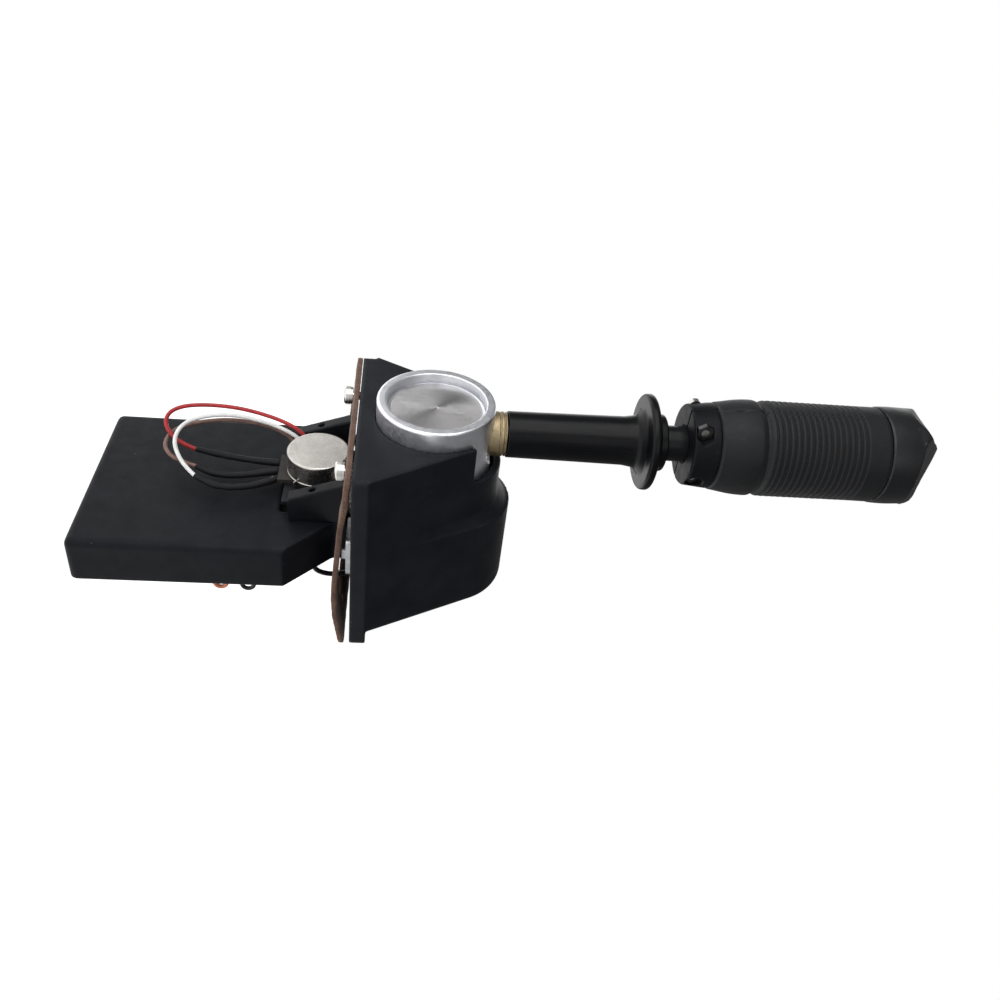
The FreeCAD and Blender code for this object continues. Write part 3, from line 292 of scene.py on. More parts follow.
def moulded(name, dark, light, rough, grain, grain_depth, specular=0.12, wear=0.5, sheen=0.0):
    """Moulded or painted black: uneven tone, fine grain, slightly paler edges, a few specks of dust."""
    finish = Finish(name, specular=specular, sheen=sheen)
    patch_size, speck_spacing, dusty_area = 14, 4.5, 20
    dust = (0.16, 0.16, 0.16)
    worn = tuple(3.2 * c + 0.004 for c in light)
    broad = finish.noise(patch_size, detail=5)
    fine = finish.noise(grain, detail=3)
    tone = finish.blend(finish.fit(broad, 0.35, 0.65, 0, 1), dark, light)
    edge = finish.times(finish.edges(), finish.fit(broad, 0.4, 0.7, 0.1 * wear, wear))
    tone = finish.blend(edge, tone, worn)
    speck = finish.fit(finish.cells(speck_spacing), 0.05, 0.02, 0.0, 0.7)
    speck = finish.times(speck, finish.fit(finish.noise(dusty_area, detail=2), 0.52, 0.6, 0.0, 1.0))
    finish.colour(finish.blend(speck, tone, dust))
    finish.rough(finish.noise(6, detail=6), rough[0], rough[1])
    finish.bump(fine, grain_depth)
    finish.bump(finish.noise(5, detail=2), 0.03, 0.5)
    return finish.material


def housing_paint():
    return moulded(
        "housing_paint",
        dark=(0.0065, 0.0072, 0.0095),
        light=(0.0105, 0.0118, 0.0150),
        rough=(0.36, 0.5),
        grain=0.35,
        grain_depth=0.03,
    )


def box_plastic():
    return moulded(
        "box_plastic",
        dark=(0.00403, 0.00468, 0.0065),
        light=(0.0065, 0.007475, 0.01008),
        rough=(0.42, 0.56),
        grain=0.30,
        grain_depth=0.03,
    )


def bracket_black():
    return moulded(
        "bracket_black",
        dark=(0.005, 0.0055, 0.007),
        light=(0.009, 0.0098, 0.012),
        rough=(0.32, 0.45),
        grain=0.45,
        grain_depth=0.02,
    )


def switch_black():
    return moulded(
        "switch_black",
        dark=(0.006, 0.006, 0.007),
        light=(0.010, 0.010, 0.011),
        rough=(0.4, 0.55),
        grain=0.3,
        grain_depth=0.015,
    )


def grip_plastic():
    return moulded(
        "grip_plastic",
        dark=(0.00232, 0.00272, 0.0036),
        light=(0.0038, 0.0044, 0.0058),
        rough=(0.40, 0.55),
        grain=0.35,
        grain_depth=0.03,
    )


def grip_rubber():
    return moulded(
        "grip_rubber",
        dark=(0.0022, 0.0026, 0.00352),
        light=(0.00352, 0.00408, 0.0054),
        rough=(0.50, 0.64),
        grain=0.28,
        grain_depth=0.02,
        specular=0.3,
        wear=0.25,
        sheen=0.04,
    )


def boot_rubber():
    return moulded(
        "boot_rubber",
        dark=(0.0022, 0.00264, 0.00368),
        light=(0.00352, 0.00416, 0.0056),
        rough=(0.36, 0.48),
        grain=0.4,
        grain_depth=0.015,
        specular=0.4,
        wear=0.5,
        sheen=0.03,
    )


def moulded_black():
    """Glossier nylon of the lift sleeve, with faint lengthwise drag marks."""
    finish = Finish("moulded_black", specular=0.16)
    broad = finish.noise(18, detail=5)
    drag = finish.noise(0.5, detail=3, stretch=(1, 1, 0.03))
    tone = finish.blend(broad, (0.0014, 0.001575, 0.0021), (0.002975, 0.00322, 0.0042))
    finish.colour(finish.blend(finish.times(finish.edges(), broad), tone, (0.014, 0.0147, 0.0161)))
    finish.rough(drag, 0.26, 0.40)
    finish.bump(drag, 0.008)
    finish.bump(finish.noise(2.2, detail=3), 0.02, 0.6)
    return finish.material


def metal(name, low, high, rough, blotch, pits=0.0):
    """Satin metal with uneven tone and a few dark pits."""
    finish = Finish(name, metallic=1.0)
    broad = finish.noise(blotch, detail=7)
    tone = finish.blend(finish.fit(broad, 0.3, 0.7, 0, 1), low, high)
    if pits:
        spots = finish.fit(finish.cells(2.6), 0.07, 0.03, 0.0, 1.0)
        spots = finish.times(spots, finish.fit(finish.noise(9, detail=2), 0.55, 0.62, 0.0, pits))
        tone = finish.blend(spots, tone, tuple(0.25 * c for c in low))
    finish.colour(tone)
    finish.rough(finish.noise(1.6, detail=6), rough[0], rough[1])
    return finish


def hub_aluminium():
    finish = metal("hub_aluminium", (0.78, 0.79, 0.83), (0.91, 0.92, 0.96), (0.30, 0.42), 4.0, 0.9)
    finish.bump(finish.noise(0.5, detail=4), 0.02, 0.7)
    finish.bump(finish.noise(2.5, detail=3), 0.03, 0.5)
    return finish.material


def spun_aluminium():
    """Turned disc: fine rings about the pivot axis, and the bow-tie sheen that they give."""
    finish = metal("spun_aluminium", (0.50, 0.49, 0.49), (0.60, 0.59, 0.59), (0.30, 0.40), 9.0)
    rings = finish.noise(0.16, detail=2, vector=finish.reach("x", PIVOT))
    finish.bump(rings, 0.01, 0.5)
    finish.tangent("X", 0.85)
    return finish.material


def collar_brass():
    finish = metal("collar_brass", (0.24, 0.185, 0.105), (0.42, 0.345, 0.215), (0.40, 0.55), 3.0, 1.0)
    finish.bump(finish.noise(0.3, detail=2, stretch=(0.1, 0.1, 1)), 0.012, 0.8)
    finish.bump(finish.noise(3.5, detail=2), 0.04, 0.6)
    return finish.material


def nickel_can():
    finish = metal("nickel_can", (0.46, 0.44, 0.41), (0.60, 0.575, 0.545), (0.24, 0.34), 5.0, 0.5)
    finish.bump(finish.noise(0.35, detail=4), 0.008, 0.7)
    return finish.material


def plain_metal(name, low, high, rough):
    finish = metal(name, low, high, rough, 2.5, 0.6)
    finish.bump(finish.noise(0.3, detail=3), 0.008, 0.7)
    return finish.material


def gasket_fibre():
    """Brown cork and fibre sheet with pale and dark grains."""
    finish = Finish("gasket_fibre", specular=0.2, sheen=0.1)
    broad = finish.noise(7, detail=5)
    grain = finish.noise(0.55, detail=5, rough=0.7)
    tone = finish.blend(finish.fit(broad, 0.35, 0.65, 0, 1), (0.075, 0.040, 0.027), (0.135, 0.078, 0.055))
    tone = finish.blend(finish.fit(grain, 0.56, 0.68, 0, 0.85), tone, (0.25, 0.16, 0.115))
    tone = finish.blend(finish.fit(grain, 0.44, 0.34, 0, 0.8), tone, (0.022, 0.013, 0.010))
    finish.colour(tone)
    finish.rough(grain, 0.78, 0.95)
    finish.bump(grain, 0.12)
    finish.bump(finish.noise(0.2, detail=2, stretch=(1, 1, 0.3)), 0.04, 0.7)
    return finish.material


def potting_resin():
    finish = Finish("potting_resin", specular=0.5)
    broad = finish.noise(20, detail=4)
    finish.colour(finish.blend(broad, (0.006, 0.006, 0.007), (0.014, 0.014, 0.015)))
    finish.rough(finish.noise(8, detail=5), 0.18, 0.42)
    finish.bump(finish.noise(9, detail=3), 0.5, 0.6)
    finish.bump(finish.noise(1.2, detail=3), 0.03, 0.6)
    return finish.material


def wire(name, low, high):
    """Wire insulation: even colour with slight smudges and a faint print of the strands."""
    finish = Finish(name, specular=0.4)
    broad = finish.noise(3.5, detail=4)
    finish.colour(finish.blend(finish.fit(broad, 0.35, 0.65, 0, 1), low, high))
    finish.rough(broad, 0.34, 0.48)
    finish.bump(finish.noise(0.6, detail=3), 0.015)
    return finish.material


def shrink_black():
    finish = Finish("shrink_black", specular=0.15)
    broad = finish.noise(4, detail=4)
    finish.colour(finish.blend(broad, (0.0045, 0.0048, 0.006), (0.011, 0.0115, 0.013)))
    finish.rough(broad, 0.38, 0.55)
    finish.bump(finish.noise(1.1, detail=4, stretch=(1, 1, 2.2)), 0.12)
    return finish.material


def speckled(name, low, high, rough):
    """Plain moulded or laminated stock: two close tones and a fine grain."""
    finish = Finish(name, specular=0.4)
    size = 1.2
    broad = finish.noise(size * 3, detail=5)
    finish.colour(finish.blend(finish.fit(broad, 0.35, 0.65, 0, 1), low, high))
    finish.rough(finish.noise(size, detail=4), *rough)
    finish.bump(finish.noise(size / 3, detail=3), 0.02)
    return finish.material


FINISHES = {
    "housing_paint": housing_paint(),
    "gasket_fibre": gasket_fibre(),
    "bright_screw": plain_metal("bright_screw", (0.55, 0.54, 0.51), (0.74, 0.73, 0.70), (0.16, 0.28)),
    "plated_steel": plain_metal("plated_steel", (0.44, 0.45, 0.46), (0.62, 0.63, 0.64), (0.28, 0.42)),
    "dark_steel": plain_metal("dark_steel", (0.06, 0.06, 0.065), (0.12, 0.12, 0.125), (0.30, 0.45)),
    "bracket_black": bracket_black(),
    "nickel_can": nickel_can(),
    "phenolic": speckled("phenolic", (0.012, 0.010, 0.009), (0.022, 0.018, 0.016), (0.5, 0.7)),
    "tinned_lug": plain_metal("tinned_lug", (0.50, 0.50, 0.50), (0.70, 0.70, 0.71), (0.25, 0.4)),
    "gear_nylon": speckled("gear_nylon", (0.60, 0.59, 0.54), (0.72, 0.71, 0.66), (0.4, 0.55)),
    "brass_pinion": plain_metal("brass_pinion", (0.45, 0.31, 0.12), (0.62, 0.46, 0.20), (0.22, 0.36)),
    "box_plastic": box_plastic(),
    "potting_resin": potting_resin(),
    "wire_orange": wire("wire_orange", (0.55, 0.17, 0.10), (0.66, 0.24, 0.15)),
    "wire_grey": wire("wire_grey", (0.28, 0.28, 0.29), (0.38, 0.38, 0.39)),
    "wire_black": wire("wire_black", (0.006, 0.006, 0.007), (0.014, 0.014, 0.015)),
    "wire_blue": wire("wire_blue", (0.012, 0.025, 0.14), (0.022, 0.04, 0.20)),
    "wire_red": wire("wire_red", (0.30, 0.012, 0.016), (0.42, 0.022, 0.026)),
    "wire_white": wire("wire_white", (0.66, 0.66, 0.66), (0.78, 0.78, 0.77)),
    "wire_brown": wire("wire_brown", (0.13, 0.070, 0.056), (0.19, 0.11, 0.09)),
    "shrink_black": shrink_black(),
    "hub_aluminium": hub_aluminium(),
    "spun_aluminium": spun_aluminium(),
    "bronze_bush": plain_metal("bronze_bush", (0.32, 0.20, 0.09), (0.48, 0.32, 0.16), (0.3, 0.5)),
    "spring_steel": plain_metal("spring_steel", (0.36, 0.37, 0.38), (0.52, 0.53, 0.54), (0.22, 0.36)),
    "switch_black": switch_black(),
    "button_red": speckled("button_red", (0.32, 0.02, 0.016), (0.42, 0.03, 0.024), (0.35, 0.5)),
    "collar_brass": collar_brass(),
    "moulded_black": moulded_black(),
    "grip_plastic": grip_plastic(),
    "grip_rubber": grip_rubber(),
    "boot_rubber": boot_rubber(),
}
for node_name, node_object in NODES.items():
    finish_material = FINISHES[SLOT_OF[node_name]]
    for material_slot in node_object.material_slots:
        material_slot.material = finish_material


# ---------------------------------------------------------------- mesh helpers
AXES = {
    "x": Matrix(((0, 0, 1), (1, 0, 0), (0, 1, 0))),
    "z": Matrix(((1, 0, 0), (0, 1, 0), (0, 0, 1))),
}


def settle(piece, *nodes, moving=True):
    """The piece takes the place, finish and body of the CAD nodes that it stands for."""
    slot = SLOT_OF[nodes[0]]
    piece.data.materials.clear()
    piece.data.materials.append(FINISHES[slot])
    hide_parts(*nodes)
    if moving:
        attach(piece, BODY_OF[nodes[0]])
    return piece


def detail(piece, slot, body):
    """A piece of trim with no CAD node of its own."""
    piece.data.materials.clear()
    piece.data.materials.append(FINISHES[slot])
    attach(piece, body)
    return piece


def linked(name, mesh):
    for face in mesh.polygons:
        face.use_smooth = True
    piece = bpy.data.objects.new(name, mesh)
    bpy.context.scene.collection.objects.link(piece)
    return piece


def rounded(outline, radius, steps=4):
    """Closed outline with each corner turned into an arc; hold points keep the flats flat in shading."""
    soft = []
    count = len(outline)
    for i, corner in enumerate(outline):
        here = Vector(corner[:2])
        before = Vector(outline[i - 1][:2]) - here
        after = Vector(outline[(i + 1) % count][:2]) - here
        size = corner[2] if len(corner) > 2 else radius
        turn = math.pi - before.angle(after)
        if size == 0 or turn < 0.15:
            soft.append(tuple(here))
            continue
        run = min(size * math.tan(turn / 2), 0.45 * before.length, 0.45 * after.length)
        start = here + before.normalized() * run
        end = here + after.normalized() * run
        hold = min(0.25, 0.3 * run)
        room_before = before.length - 2 * run > 2 * hold
        room_after = after.length - 2 * run > 2 * hold
        if room_before:
            soft.append(tuple(start + before.normalized() * hold))
        for step in range(steps + 1):
            t = step / steps
            soft.append(tuple(start * (1 - t) ** 2 + here * 2 * t * (1 - t) + end * t**2))
        if room_after:
            soft.append(tuple(end + after.normalized() * hold))
    return soft


def lathe(name, outline, axis, centre, steps=192, shape=None):
    """Closed outline of (radius, height) in mm, turned about an axis through centre; shape moves points."""
    form = bmesh.new()
    turn_to = AXES[axis]
    rings = []
    for radius, height in outline:
        if radius == 0:
            rings.append([form.verts.new(turn_to @ Vector((0, 0, height * MM)) + centre)])
            continue
        ring = []
        for i in range(steps):
            angle = 2 * math.pi * i / steps
            r, h = shape(radius, height, angle) if shape else (radius, height)
            spot = Vector((r * math.cos(angle), r * math.sin(angle), h)) * MM
            ring.append(form.verts.new(turn_to @ spot + centre))
        rings.append(ring)
    for ring, following in zip(rings, rings[1:] + rings[:1]):
        if len(ring) == 1 and len(following) == 1:
            continue
        for i in range(steps):
            j = (i + 1) % steps
            corners = [ring[i % len(ring)], ring[j % len(ring)]]
            corners += [following[j % len(following)], following[i % len(following)]]
            form.faces.new(list(dict.fromkeys(corners)))
    bmesh.ops.recalc_face_normals(form, faces=form.faces)
    mesh = bpy.data.meshes.new(name)
    form.to_mesh(mesh)
    form.free()
    return linked(name, mesh)


def baked(piece):
    """The piece's mesh with its modifiers applied, as a new mesh."""
    graph = bpy.context.evaluated_depsgraph_get()
    mesh = bpy.data.meshes.new_from_object(piece.evaluated_get(graph))
    bpy.data.objects.remove(piece)
    return mesh


def softened(name, node, voxel, passes, keep=1.0, shape=None):
    """A CAD node's shape with every edge eased, as a casting or a moulding has it."""
    rough = bpy.data.objects.new(f"{name}_rough", NODES[node].data.copy())
    bpy.context.scene.collection.objects.link(rough)
    remesh = rough.modifiers.new("cells", "REMESH")
    remesh.mode = "VOXEL"
    remesh.voxel_size = voxel * MM
    ease = rough.modifiers.new("ease", "SMOOTH")
    ease.factor = 0.5
    ease.iterations = passes
    bpy.context.view_layer.update()
    mesh = baked(rough)
    if shape:
        moved = [shape(vertex.co.copy(), vertex.normal.copy()) for vertex in mesh.vertices]
        for vertex, spot in zip(mesh.vertices, moved):
            vertex.co = spot
    if keep < 1.0:
        fewer = bpy.data.objects.new(f"{name}_fewer", mesh)
        bpy.context.scene.collection.objects.link(fewer)
        thin = fewer.modifiers.new("fewer", "DECIMATE")
        thin.ratio = keep
        bpy.context.view_layer.update()
        mesh = baked(fewer)
    mesh.name = name
    return linked(name, mesh)


def nurbs_curve(name, route, radius=0.0):
    """Open spline with the route's points, in mm, as its control points."""
    curve = bpy.data.curves.new(name, "CURVE")
    curve.dimensions = "3D"
    spline = curve.splines.new("NURBS")
    spline.points.add(len(route) - 1)
    for point, spot in zip(spline.points, route):
        point.co = (*(c * MM for c in spot), 1)
    spline.order_u = 3
    spline.use_endpoint_u = True
    curve.resolution_u = 12
    curve.bevel_depth = radius * MM
    curve.bevel_resolution = 6
    curve.use_fill_caps = True
    piece = bpy.data.objects.new(name, curve)
    bpy.context.scene.collection.objects.link(piece)
    return piece


def route_points(route):
    """Points along the route's own spline, in metres."""
    line = nurbs_curve("route", route)
    bpy.context.view_layer.update()
    graph = bpy.context.evaluated_depsgraph_get()
    mesh = bpy.data.meshes.new_from_object(line.evaluated_get(graph))
    points = [vertex.co.copy() for vertex in mesh.vertices]
    bpy.data.objects.remove(line)
    bpy.data.meshes.remove(mesh)
    return points


def sleeve_tube(name, route, radius_at, sides=24):
    """Closed tube along a route; radius_at gives the radius in mm at a share of its length."""
    points = route_points(route)
    form = bmesh.new()
    rings = []
    across = Vector((1, 0, 0))
    for i, point in enumerate(points):
        ahead = points[min(i + 1, len(points) - 1)] - points[max(i - 1, 0)]
        ahead.normalize()
        across = (across - ahead * across.dot(ahead)).normalized()
        side = ahead.cross(across)
        radius = radius_at(i / (len(points) - 1)) * MM
        ring = []
        for j in range(sides):
            angle = 2 * math.pi * j / sides
            ring.append(form.verts.new(point + (across * math.cos(angle) + side * math.sin(angle)) * radius))
        rings.append(ring)
    for ring, following in zip(rings, rings[1:]):
        for j in range(sides):
            k = (j + 1) % sides
            form.faces.new((ring[j], ring[k], following[k], following[j]))
    form.faces.new(list(reversed(rings[0])))
    form.faces.new(rings[-1])
    bmesh.ops.recalc_face_normals(form, faces=form.faces)
    mesh = bpy.data.meshes.new(name)
    form.to_mesh(mesh)
    form.free()
    return linked(name, mesh)


def bell(distance, width):
    return math.exp(-((distance / width) ** 2))


# ---------------------------------------------------------------- cords
LEAD_RADIUS = 0.8
SWITCH_LEAD_RADIUS = 1.0
SHRINK_RADIUS = 1.25
SHRINKS = {
    "heat_shrink_red": (
        (-11.55, 5, -30.1), (-11.6, 5.3, -36.5), (-11.5, 6.4, -43.8),
        (-11.7, 7.6, -51.2), (-12.6, 8.1, -57.6), (-14.5, 7.5, -63.2),
    ),
    "heat_shrink_brown": (
        (-11.55, 0, -30.1), (-11.6, -1.9, -36.4), (-11.5, -4.0, -43.2),
        (-11.7, -4.9, -50.2), (-12.1, -4.0, -56.6), (-13.0, -1.6, -61.4),
    ),
    "heat_shrink_white": (
        (-11.55, -5, -30.1), (-11.6, -8.6, -35.4), (-11.5, -11.2, -41.6),
        (-11.7, -12.3, -48.4), (-12.1, -11.2, -55.2), (-13.0, -7.6, -60.8),
    ),
}
LEADS = {
    "lead_red": (
        (-14.5, 7.5, -63.2), (-16.6, 7.7, -68.0), (-19.4, 9.4, -72.4), (-23.0, 12.0, -74.8),
        (-26.2, 14.8, -73.6), (-28.0, 16.8, -68.8), (-28.4, 18.0, -61.6), (-27.8, 18.9, -53.6),
        (-26.6, 19.3, -45.8), (-24.6, 19.2, -37.8), (-22.4, 18.4, -30.4), (-19.9, 16.9, -24.4),
        (-16.8, 15.6, -20.9), (-13.3, 15.2, -19.8),
    ),
    "lead_white": (
        (-13.0, -7.6, -60.8), (-14.6, -4.6, -64.6), (-17.2, -1.1, -67.8), (-20.4, 2.7, -69.8),
        (-23.2, 6.6, -69.2), (-25.2, 10.4, -66.2), (-26.0, 13.2, -60.8), (-26.0, 15.3, -54.4),
        (-25.1, 16.6, -47.0), (-23.2, 16.8, -39.2), (-21.2, 16.4, -32.4), (-18.7, 15.7, -27.0),
        (-16.2, 15.3, -23.7), (-13.3, 15.2, -22.2),
    ),
    "lead_brown": (
        (-13.0, -1.6, -61.4), (-13.8, -0.4, -66.6), (-14.8, 1.6, -71.2), (-16.2, 5.4, -74.4),
        (-18.0, 10.0, -74.0), (-19.8, 13.4, -70.6), (-21.2, 15.2, -65.4), (-22.2, 16.0, -59.4),
        (-22.7, 16.9, -53.0), (-22.0, 17.8, -46.0), (-20.6, 17.9, -38.0), (-18.8, 17.2, -31.6),
        (-16.4, 16.0, -27.2), (-13.3, 15.2, -24.8),
    ),
    "lead_switch": (
        (11.8, -27.0, -15.2), (15.4, -26.2, -14.6), (19.2, -24.2, -12.0), (22.0, -22.0, -7.6),
        (22.8, -19.6, -1.6), (21.6, -16.8, 4.0), (18.8, -13.4, 7.2), (15.4, -9.9, 8.3),
    ),
}


def shrink_radius_at(share):
    """Full over the soldered lug, tight over the wire at the far end, with slight folds between."""
    swell = 0.18 * bell(share - 0.12, 0.1) + 0.05 * math.sin(share * 34)
    taper = 0.34 * max(0.0, (share - 0.86) / 0.14)
    return SHRINK_RADIUS + swell - taper


def make_cords():
    for node, route in SHRINKS.items():
        settle(sleeve_tube(f"{node}_tube", route, shrink_radius_at), node)
    for node, route in LEADS.items():
        radius = SWITCH_LEAD_RADIUS if node == "lead_switch" else LEAD_RADIUS
        piece = settle(nurbs_curve(f"{node}_cord", route, radius), node)


# ---------------------------------------------------------------- castings and mouldings
def make_mouldings():
    settle(softened("housing_cast", "housing", 0.55, 2, 0.5), "housing")
    settle(softened("box_moulding", "electronics_box", 0.6, 6, 0.4), "electronics_box")
    settle(softened("bracket_casting", "pot_bracket", 0.45, 3, 0.5), "pot_bracket")
    settle(softened("hub_turning", "pivot_hub", 0.35, 3, 0.5), "pivot_hub")
    for side in ("near", "far"):
        settle(softened(f"grip_core_{side}", f"grip_half_{side}", 0.4, 3, 0.5), f"grip_half_{side}")


def make_gasket():
    def fibrous(spot, normal):
        """Cut edges and faces stand a little rough."""
        rough = noise.noise(spot / (0.7 * MM)) * 0.10 + noise.noise(spot / (3.5 * MM)) * 0.12
        return spot + normal * rough * MM

    settle(softened("gasket_sheet", "gasket", 0.45, 2, 1.0, fibrous), "gasket")


def make_potting():
    """Poured resin that climbs a little at the walls and is dimpled where it shrank."""
    low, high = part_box("potting_fill")

    def poured(spot, normal):
        if normal.x < 0.5 or spot.x < high.x - 0.001:
            return spot
        wall = min(spot.y - low.y, high.y - spot.y, spot.z - low.z, high.z - spot.z)
        climb = 0.7 * bell(wall / MM, 1.6)
        sink = 0.35 * (noise.noise(spot / (16 * MM)) - 0.6)
        return spot + Vector((climb + sink - 0.1, 0, 0)) * MM

    settle(softened("potting_pour", "potting_fill", 0.9, 2, 0.5, poured), "potting_fill")


# ---------------------------------------------------------------- turned parts
def make_cap_disc():
    """Spun disc at the bottom of the hub's recess, with a centre mark and a broken edge."""
    low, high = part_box("hub_cap")
    radius = (high.y - low.y) / 2 / MM
    face, back = low.x / MM, high.x / MM
    outline = [
        (0, face + 0.12),
        (0.5, face + 0.10),
        (0.9, face),
        (radius, face),
        (radius, back),
        (0, back),
    ]
    settle(lathe("hub_cap_disc", closed_on_axis(outline), "x", PIVOT), "hub_cap")


def closed_on_axis(outline):
    """Rounds the corners of an outline that begins and ends on its axis, where it stays sharp."""
    sharp = [(0, point[1], 0) if point[0] == 0 else point for point in outline]
    return [(0 if radius < 1e-6 else radius, height) for radius, height in rounded(sharp, 0.3)]


def make_collar():
    """Collar with a shallow groove and a stepped neck near its upper end."""
    low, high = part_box("brass_collar")
    outer = (high.x - low.x) / 2 / MM
    bottom, top = low.z / MM, high.z / MM
    bore = 5.04
    groove = outer - 0.22
    step = outer - 0.45
    outline = [
        (bore, bottom),
        (outer, bottom),
        (outer, top - 2.9),
        (groove, top - 2.7),
        (groove, top - 2.35),
        (outer, top - 2.15),
        (outer, top - 1.2),
        (step, top - 1.0),
        (step, top - 0.6),
        (outer, top - 0.45),
        (outer, top),
        (bore, top),
    ]
    settle(lathe("collar_turning", rounded(outline, 0.2), "z", LEVER), "brass_collar")


def make_sleeve():
    """Lift sleeve: tapered tube that flares into the finger disc, with a stepped ring above it."""
    bottom, top = sleeve_low.z / MM, sleeve_high.z / MM
    disc = (sleeve_high.x - sleeve_low.x) / 2 / MM
    disc_top = top - 4.5
    disc_under = disc_top - 4.4
    bore, spring_bore = 5.12, 7.4
    spring_seat = bottom + 3.7
    outline = [
        (bore, bottom, 0.2),
        (8.95, bottom, 0.4),
        (9.3, disc_under - 24, 0),
        (9.55, disc_under - 7, 6.0),
        (10.3, disc_under - 2.2, 3.0),
        (13.2, disc_under + 0.15, 2.5),
        (disc - 0.2, disc_under + 0.35, 1.5),
        (disc, disc_top - 0.5, 1.7),
        (13.3, disc_top - 0.1, 0.25),
        (13.1, disc_top + 1.15, 0.5),
        (11.6, disc_top + 1.25, 0.3),
        (11.2, disc_top + 1.75, 0.3),
        (11.1, top - 0.1, 0.8),
        (9.3, top, 0.4),
        (spring_bore, top, 0.3),
        (spring_bore, spring_seat, 0.2),
        (bore, spring_seat, 0.2),
    ]
    settle(lathe("lift_sleeve_moulding", rounded(outline, 0.3, 6), "z", LEVER), "lift_sleeve")


def make_can():
    """Sensor can with a rolled rim, and tabs bent over its base board."""
    low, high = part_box("pot_can")
    centre = Vector((0, (low.y + high.y) / 2, (low.z + high.z) / 2))
    radius = (high.y - low.y) / 2 / MM
    top, base = low.x / MM, high.x / MM
    shaft_hole, hole_depth = 2.1, 6.9
    outline = [
        (0, top),
        (radius, top, 0.7),
        (radius, base - 1.5, 0.2),
        (radius - 0.25, base - 1.2, 0.2),
        (radius - 0.25, base - 0.7, 0.2),
        (radius, base - 0.5, 0.2),
        (radius, base, 0.2),
        (shaft_hole, base, 0.2),
        (shaft_hole, base - hole_depth, 0.2),
        (0, base - hole_depth),
    ]
    settle(lathe("pot_can_drawn", closed_on_axis(outline), "x", centre), "pot_can")
    tab_size = Vector((2.3, 0.5, 3.4)) * MM
    first_tab = 38
    for i in range(4):
        angle = math.radians(first_tab + 90 * i)
        tab = bmesh.new()
        bmesh.ops.create_cube(tab, size=1.0)
        bmesh.ops.scale(tab, vec=tab_size, verts=tab.verts)
        edges = list(tab.edges)
        bmesh.ops.bevel(tab, geom=edges, offset=0.16 * MM, segments=3, affect="EDGES", profile=0.5)
        reach = (radius + 0.12) * MM
        spot = Vector(((base - 0.2) * MM, reach * math.cos(angle), centre.z + reach * math.sin(angle)))
        turn = Matrix.Rotation(angle - math.pi / 2, 4, "X")
        bmesh.ops.transform(tab, matrix=Matrix.Translation(spot) @ turn, verts=tab.verts)
        mesh = bpy.data.meshes.new(f"can_tab_{i}")
        tab.to_mesh(mesh)
        tab.free()
        detail(linked(f"can_tab_{i}", mesh), "nickel_can", BODY_OF["pot_can"])


# ---------------------------------------------------------------- grip
CLAMP_REACH = 10.0
PARTING_ANGLE = math.radians(187)
RIB_PITCH = 2.4
RIB_COUNT = 16
SLOT_OF["clamp_nuts"] = "dark_steel"  # darker than the screws that share their finish in the frame


def make_clamp_screws():
    """Nuts and threaded ends stop just inside the skin; the heads stand out on the other side."""
    for node in ("clamp_screw_1", "clamp_screw_2", "clamp_nuts"):
        mesh = NODES[node].data.copy()
        for vertex in mesh.vertices:
            vertex.co.y = max(vertex.co.y, -CLAMP_REACH * MM)
        settle(linked(f"{node}_seated", mesh), node)


def around(angle, centre):
    """Signed angle from centre, between minus and plus half a turn."""
    return (angle - centre + math.pi) % (2 * math.pi) - math.pi


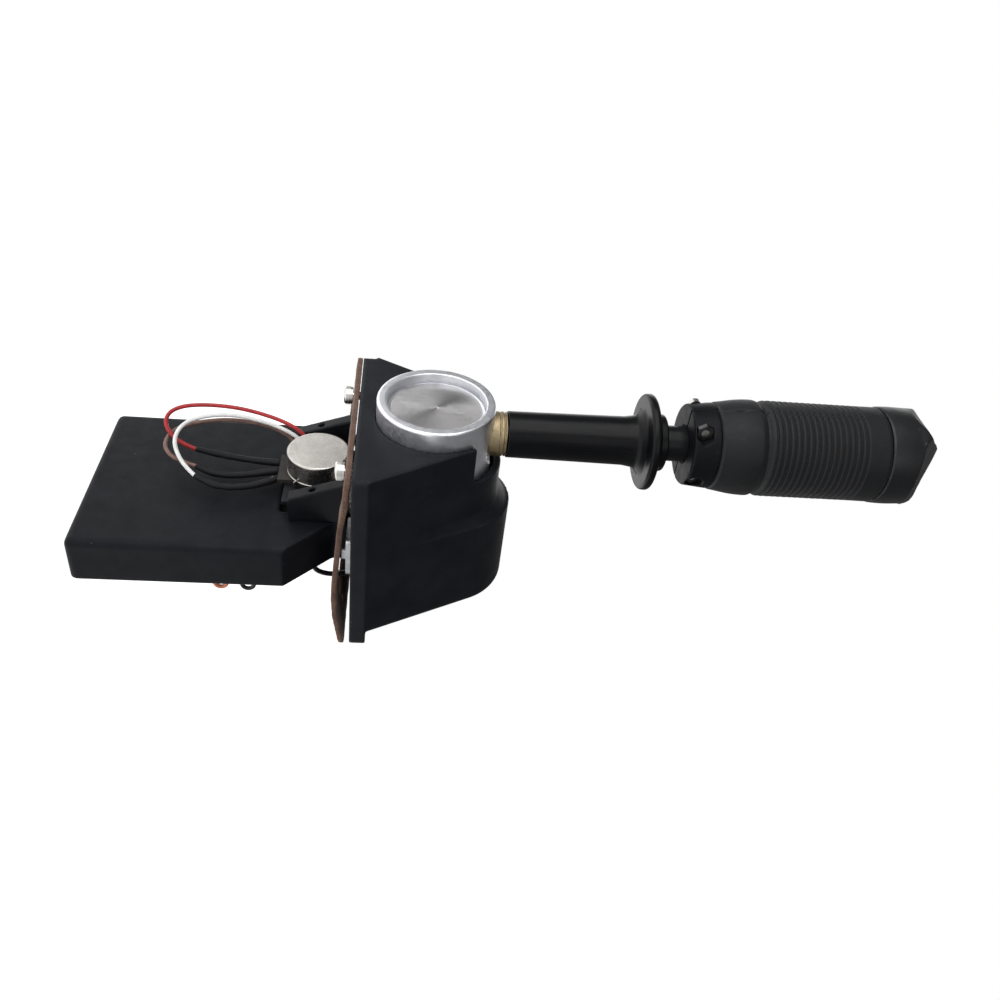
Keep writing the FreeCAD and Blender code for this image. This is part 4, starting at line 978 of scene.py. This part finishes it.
def make_rubber():
    """Rubber sleeve: flared skirt, waist, rounded ribs with narrow grooves, and a moulded parting line."""
    bottom, top = rubber_low.z / MM, rubber_high.z / MM
    full = (rubber_high.x - rubber_low.x) / 2 / MM
    waist = bottom + 18.1
    first = waist + 2.0
    groove_half = 0.42
    groove_depth = 0.75
    bore = 15.24
    skirt_radius = 17.25
    flare_length = 14.5

    def skin(height):
        """Outer radius without the ribs."""
        rise = min(1.0, (height - bottom) / flare_length)
        skirt = skirt_radius + (full - skirt_radius) * math.sin(rise * math.pi / 2) ** 1.3
        dip = 1.45 * bell(height - waist, 1.35)
        lip = 0.7 * bell(height - bottom, 0.55)
        neck = 0.55 * bell(height - top, 0.5)
        return skirt - dip - lip - neck

    heights = [bottom + 0.25 * i for i in range(int((first - bottom) / 0.25))]
    heights += [first + 0.12 * i for i in range(int(RIB_COUNT * RIB_PITCH / 0.12))]
    last = heights[-1]
    heights += [last + (top - last) * i / 24 for i in range(1, 25)]
    outline = [(bore, bottom)] + [(skin(h), h) for h in heights] + [(bore, top)]

    def shape(radius, height, angle):
        if radius == bore:
            return radius, height
        off = around(angle, PARTING_ANGLE) * radius
        line = 0.28 * bell(off, 0.28)
        strip = 1.0 - bell(off - 1.0, 1.0)
        place = (height - first) / RIB_PITCH
        ribs = 0.0
        if 0 <= place < RIB_COUNT:
            from_groove = abs(place - math.floor(place) - 0.5) * RIB_PITCH
            ribs = groove_depth * bell(from_groove, groove_half) * strip
        dents = 0.0
        for dent_height, reach in ((waist - 9.6, 1.9), (waist - 0.4, 1.6)):
            dents += 0.9 * bell(off + 0.2, 0.5) * bell(height - dent_height, reach)
        ripple = 0.05 * noise.noise(Vector((math.cos(angle) * 3, math.sin(angle) * 3, height * 0.2)))
        return radius - line - ribs - dents + ripple, height

    settle(lathe("grip_rubber_moulding", outline, "z", LEVER, 400, shape), "grip_rubber")


def make_boot():
    """Rubber boot of the thumb rocker, gripped by the grip's top, with a fixed rim, lobes and crease where
    the rocker presses it; it is attached to no moving body.
    """
    seam = boot_low.z / MM
    rim_y = 12.5
    rim_z = seam + 13.6
    crown_z = seam + 25.8

    def formed(spot, normal):
        u = spot.x / MM - LEVER_X / MM
        y = spot.y / MM
        z = spot.z / MM
        push = 0.0
        for side in (-1, 1):
            rim = math.hypot(y - side * rim_y, z - rim_z)
            push += 0.30 * bell(rim, 0.55)
            lobe = math.hypot(u + 12.5, y - side * 7.5, z - (seam + 13.5))
            push += 0.75 * bell(lobe, 3.4)
            crease = math.hypot(u + 14.0, y - side * 2.2, z - (seam + 17.5))
            push -= 0.45 * bell(crease, 2.2)
        if abs(u) < 14:
            push += 0.35 * bell(math.hypot(y, z - crown_z), 0.7)
        swell = 0.25 * math.sin(max(0.0, min(1.0, (z - seam) / 12)) * math.pi)
        if normal.z < 0.5 and math.hypot(u, y) > 18:
            push += swell
        if z < seam + 0.6:
            push = -0.25
        return spot + normal * push * MM

    boot = softened("rocker_boot_moulding", "rocker_boot", 0.4, 5, 0.6, formed)
    settle(boot, "rocker_boot", moving=False)
    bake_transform(boot)


make_camera()
make_cords()
make_floor()
make_light()
make_mouldings()
make_gasket()
make_potting()
make_cap_disc()
make_collar()
make_sleeve()
make_can()
make_clamp_screws()
make_rubber()
make_boot()
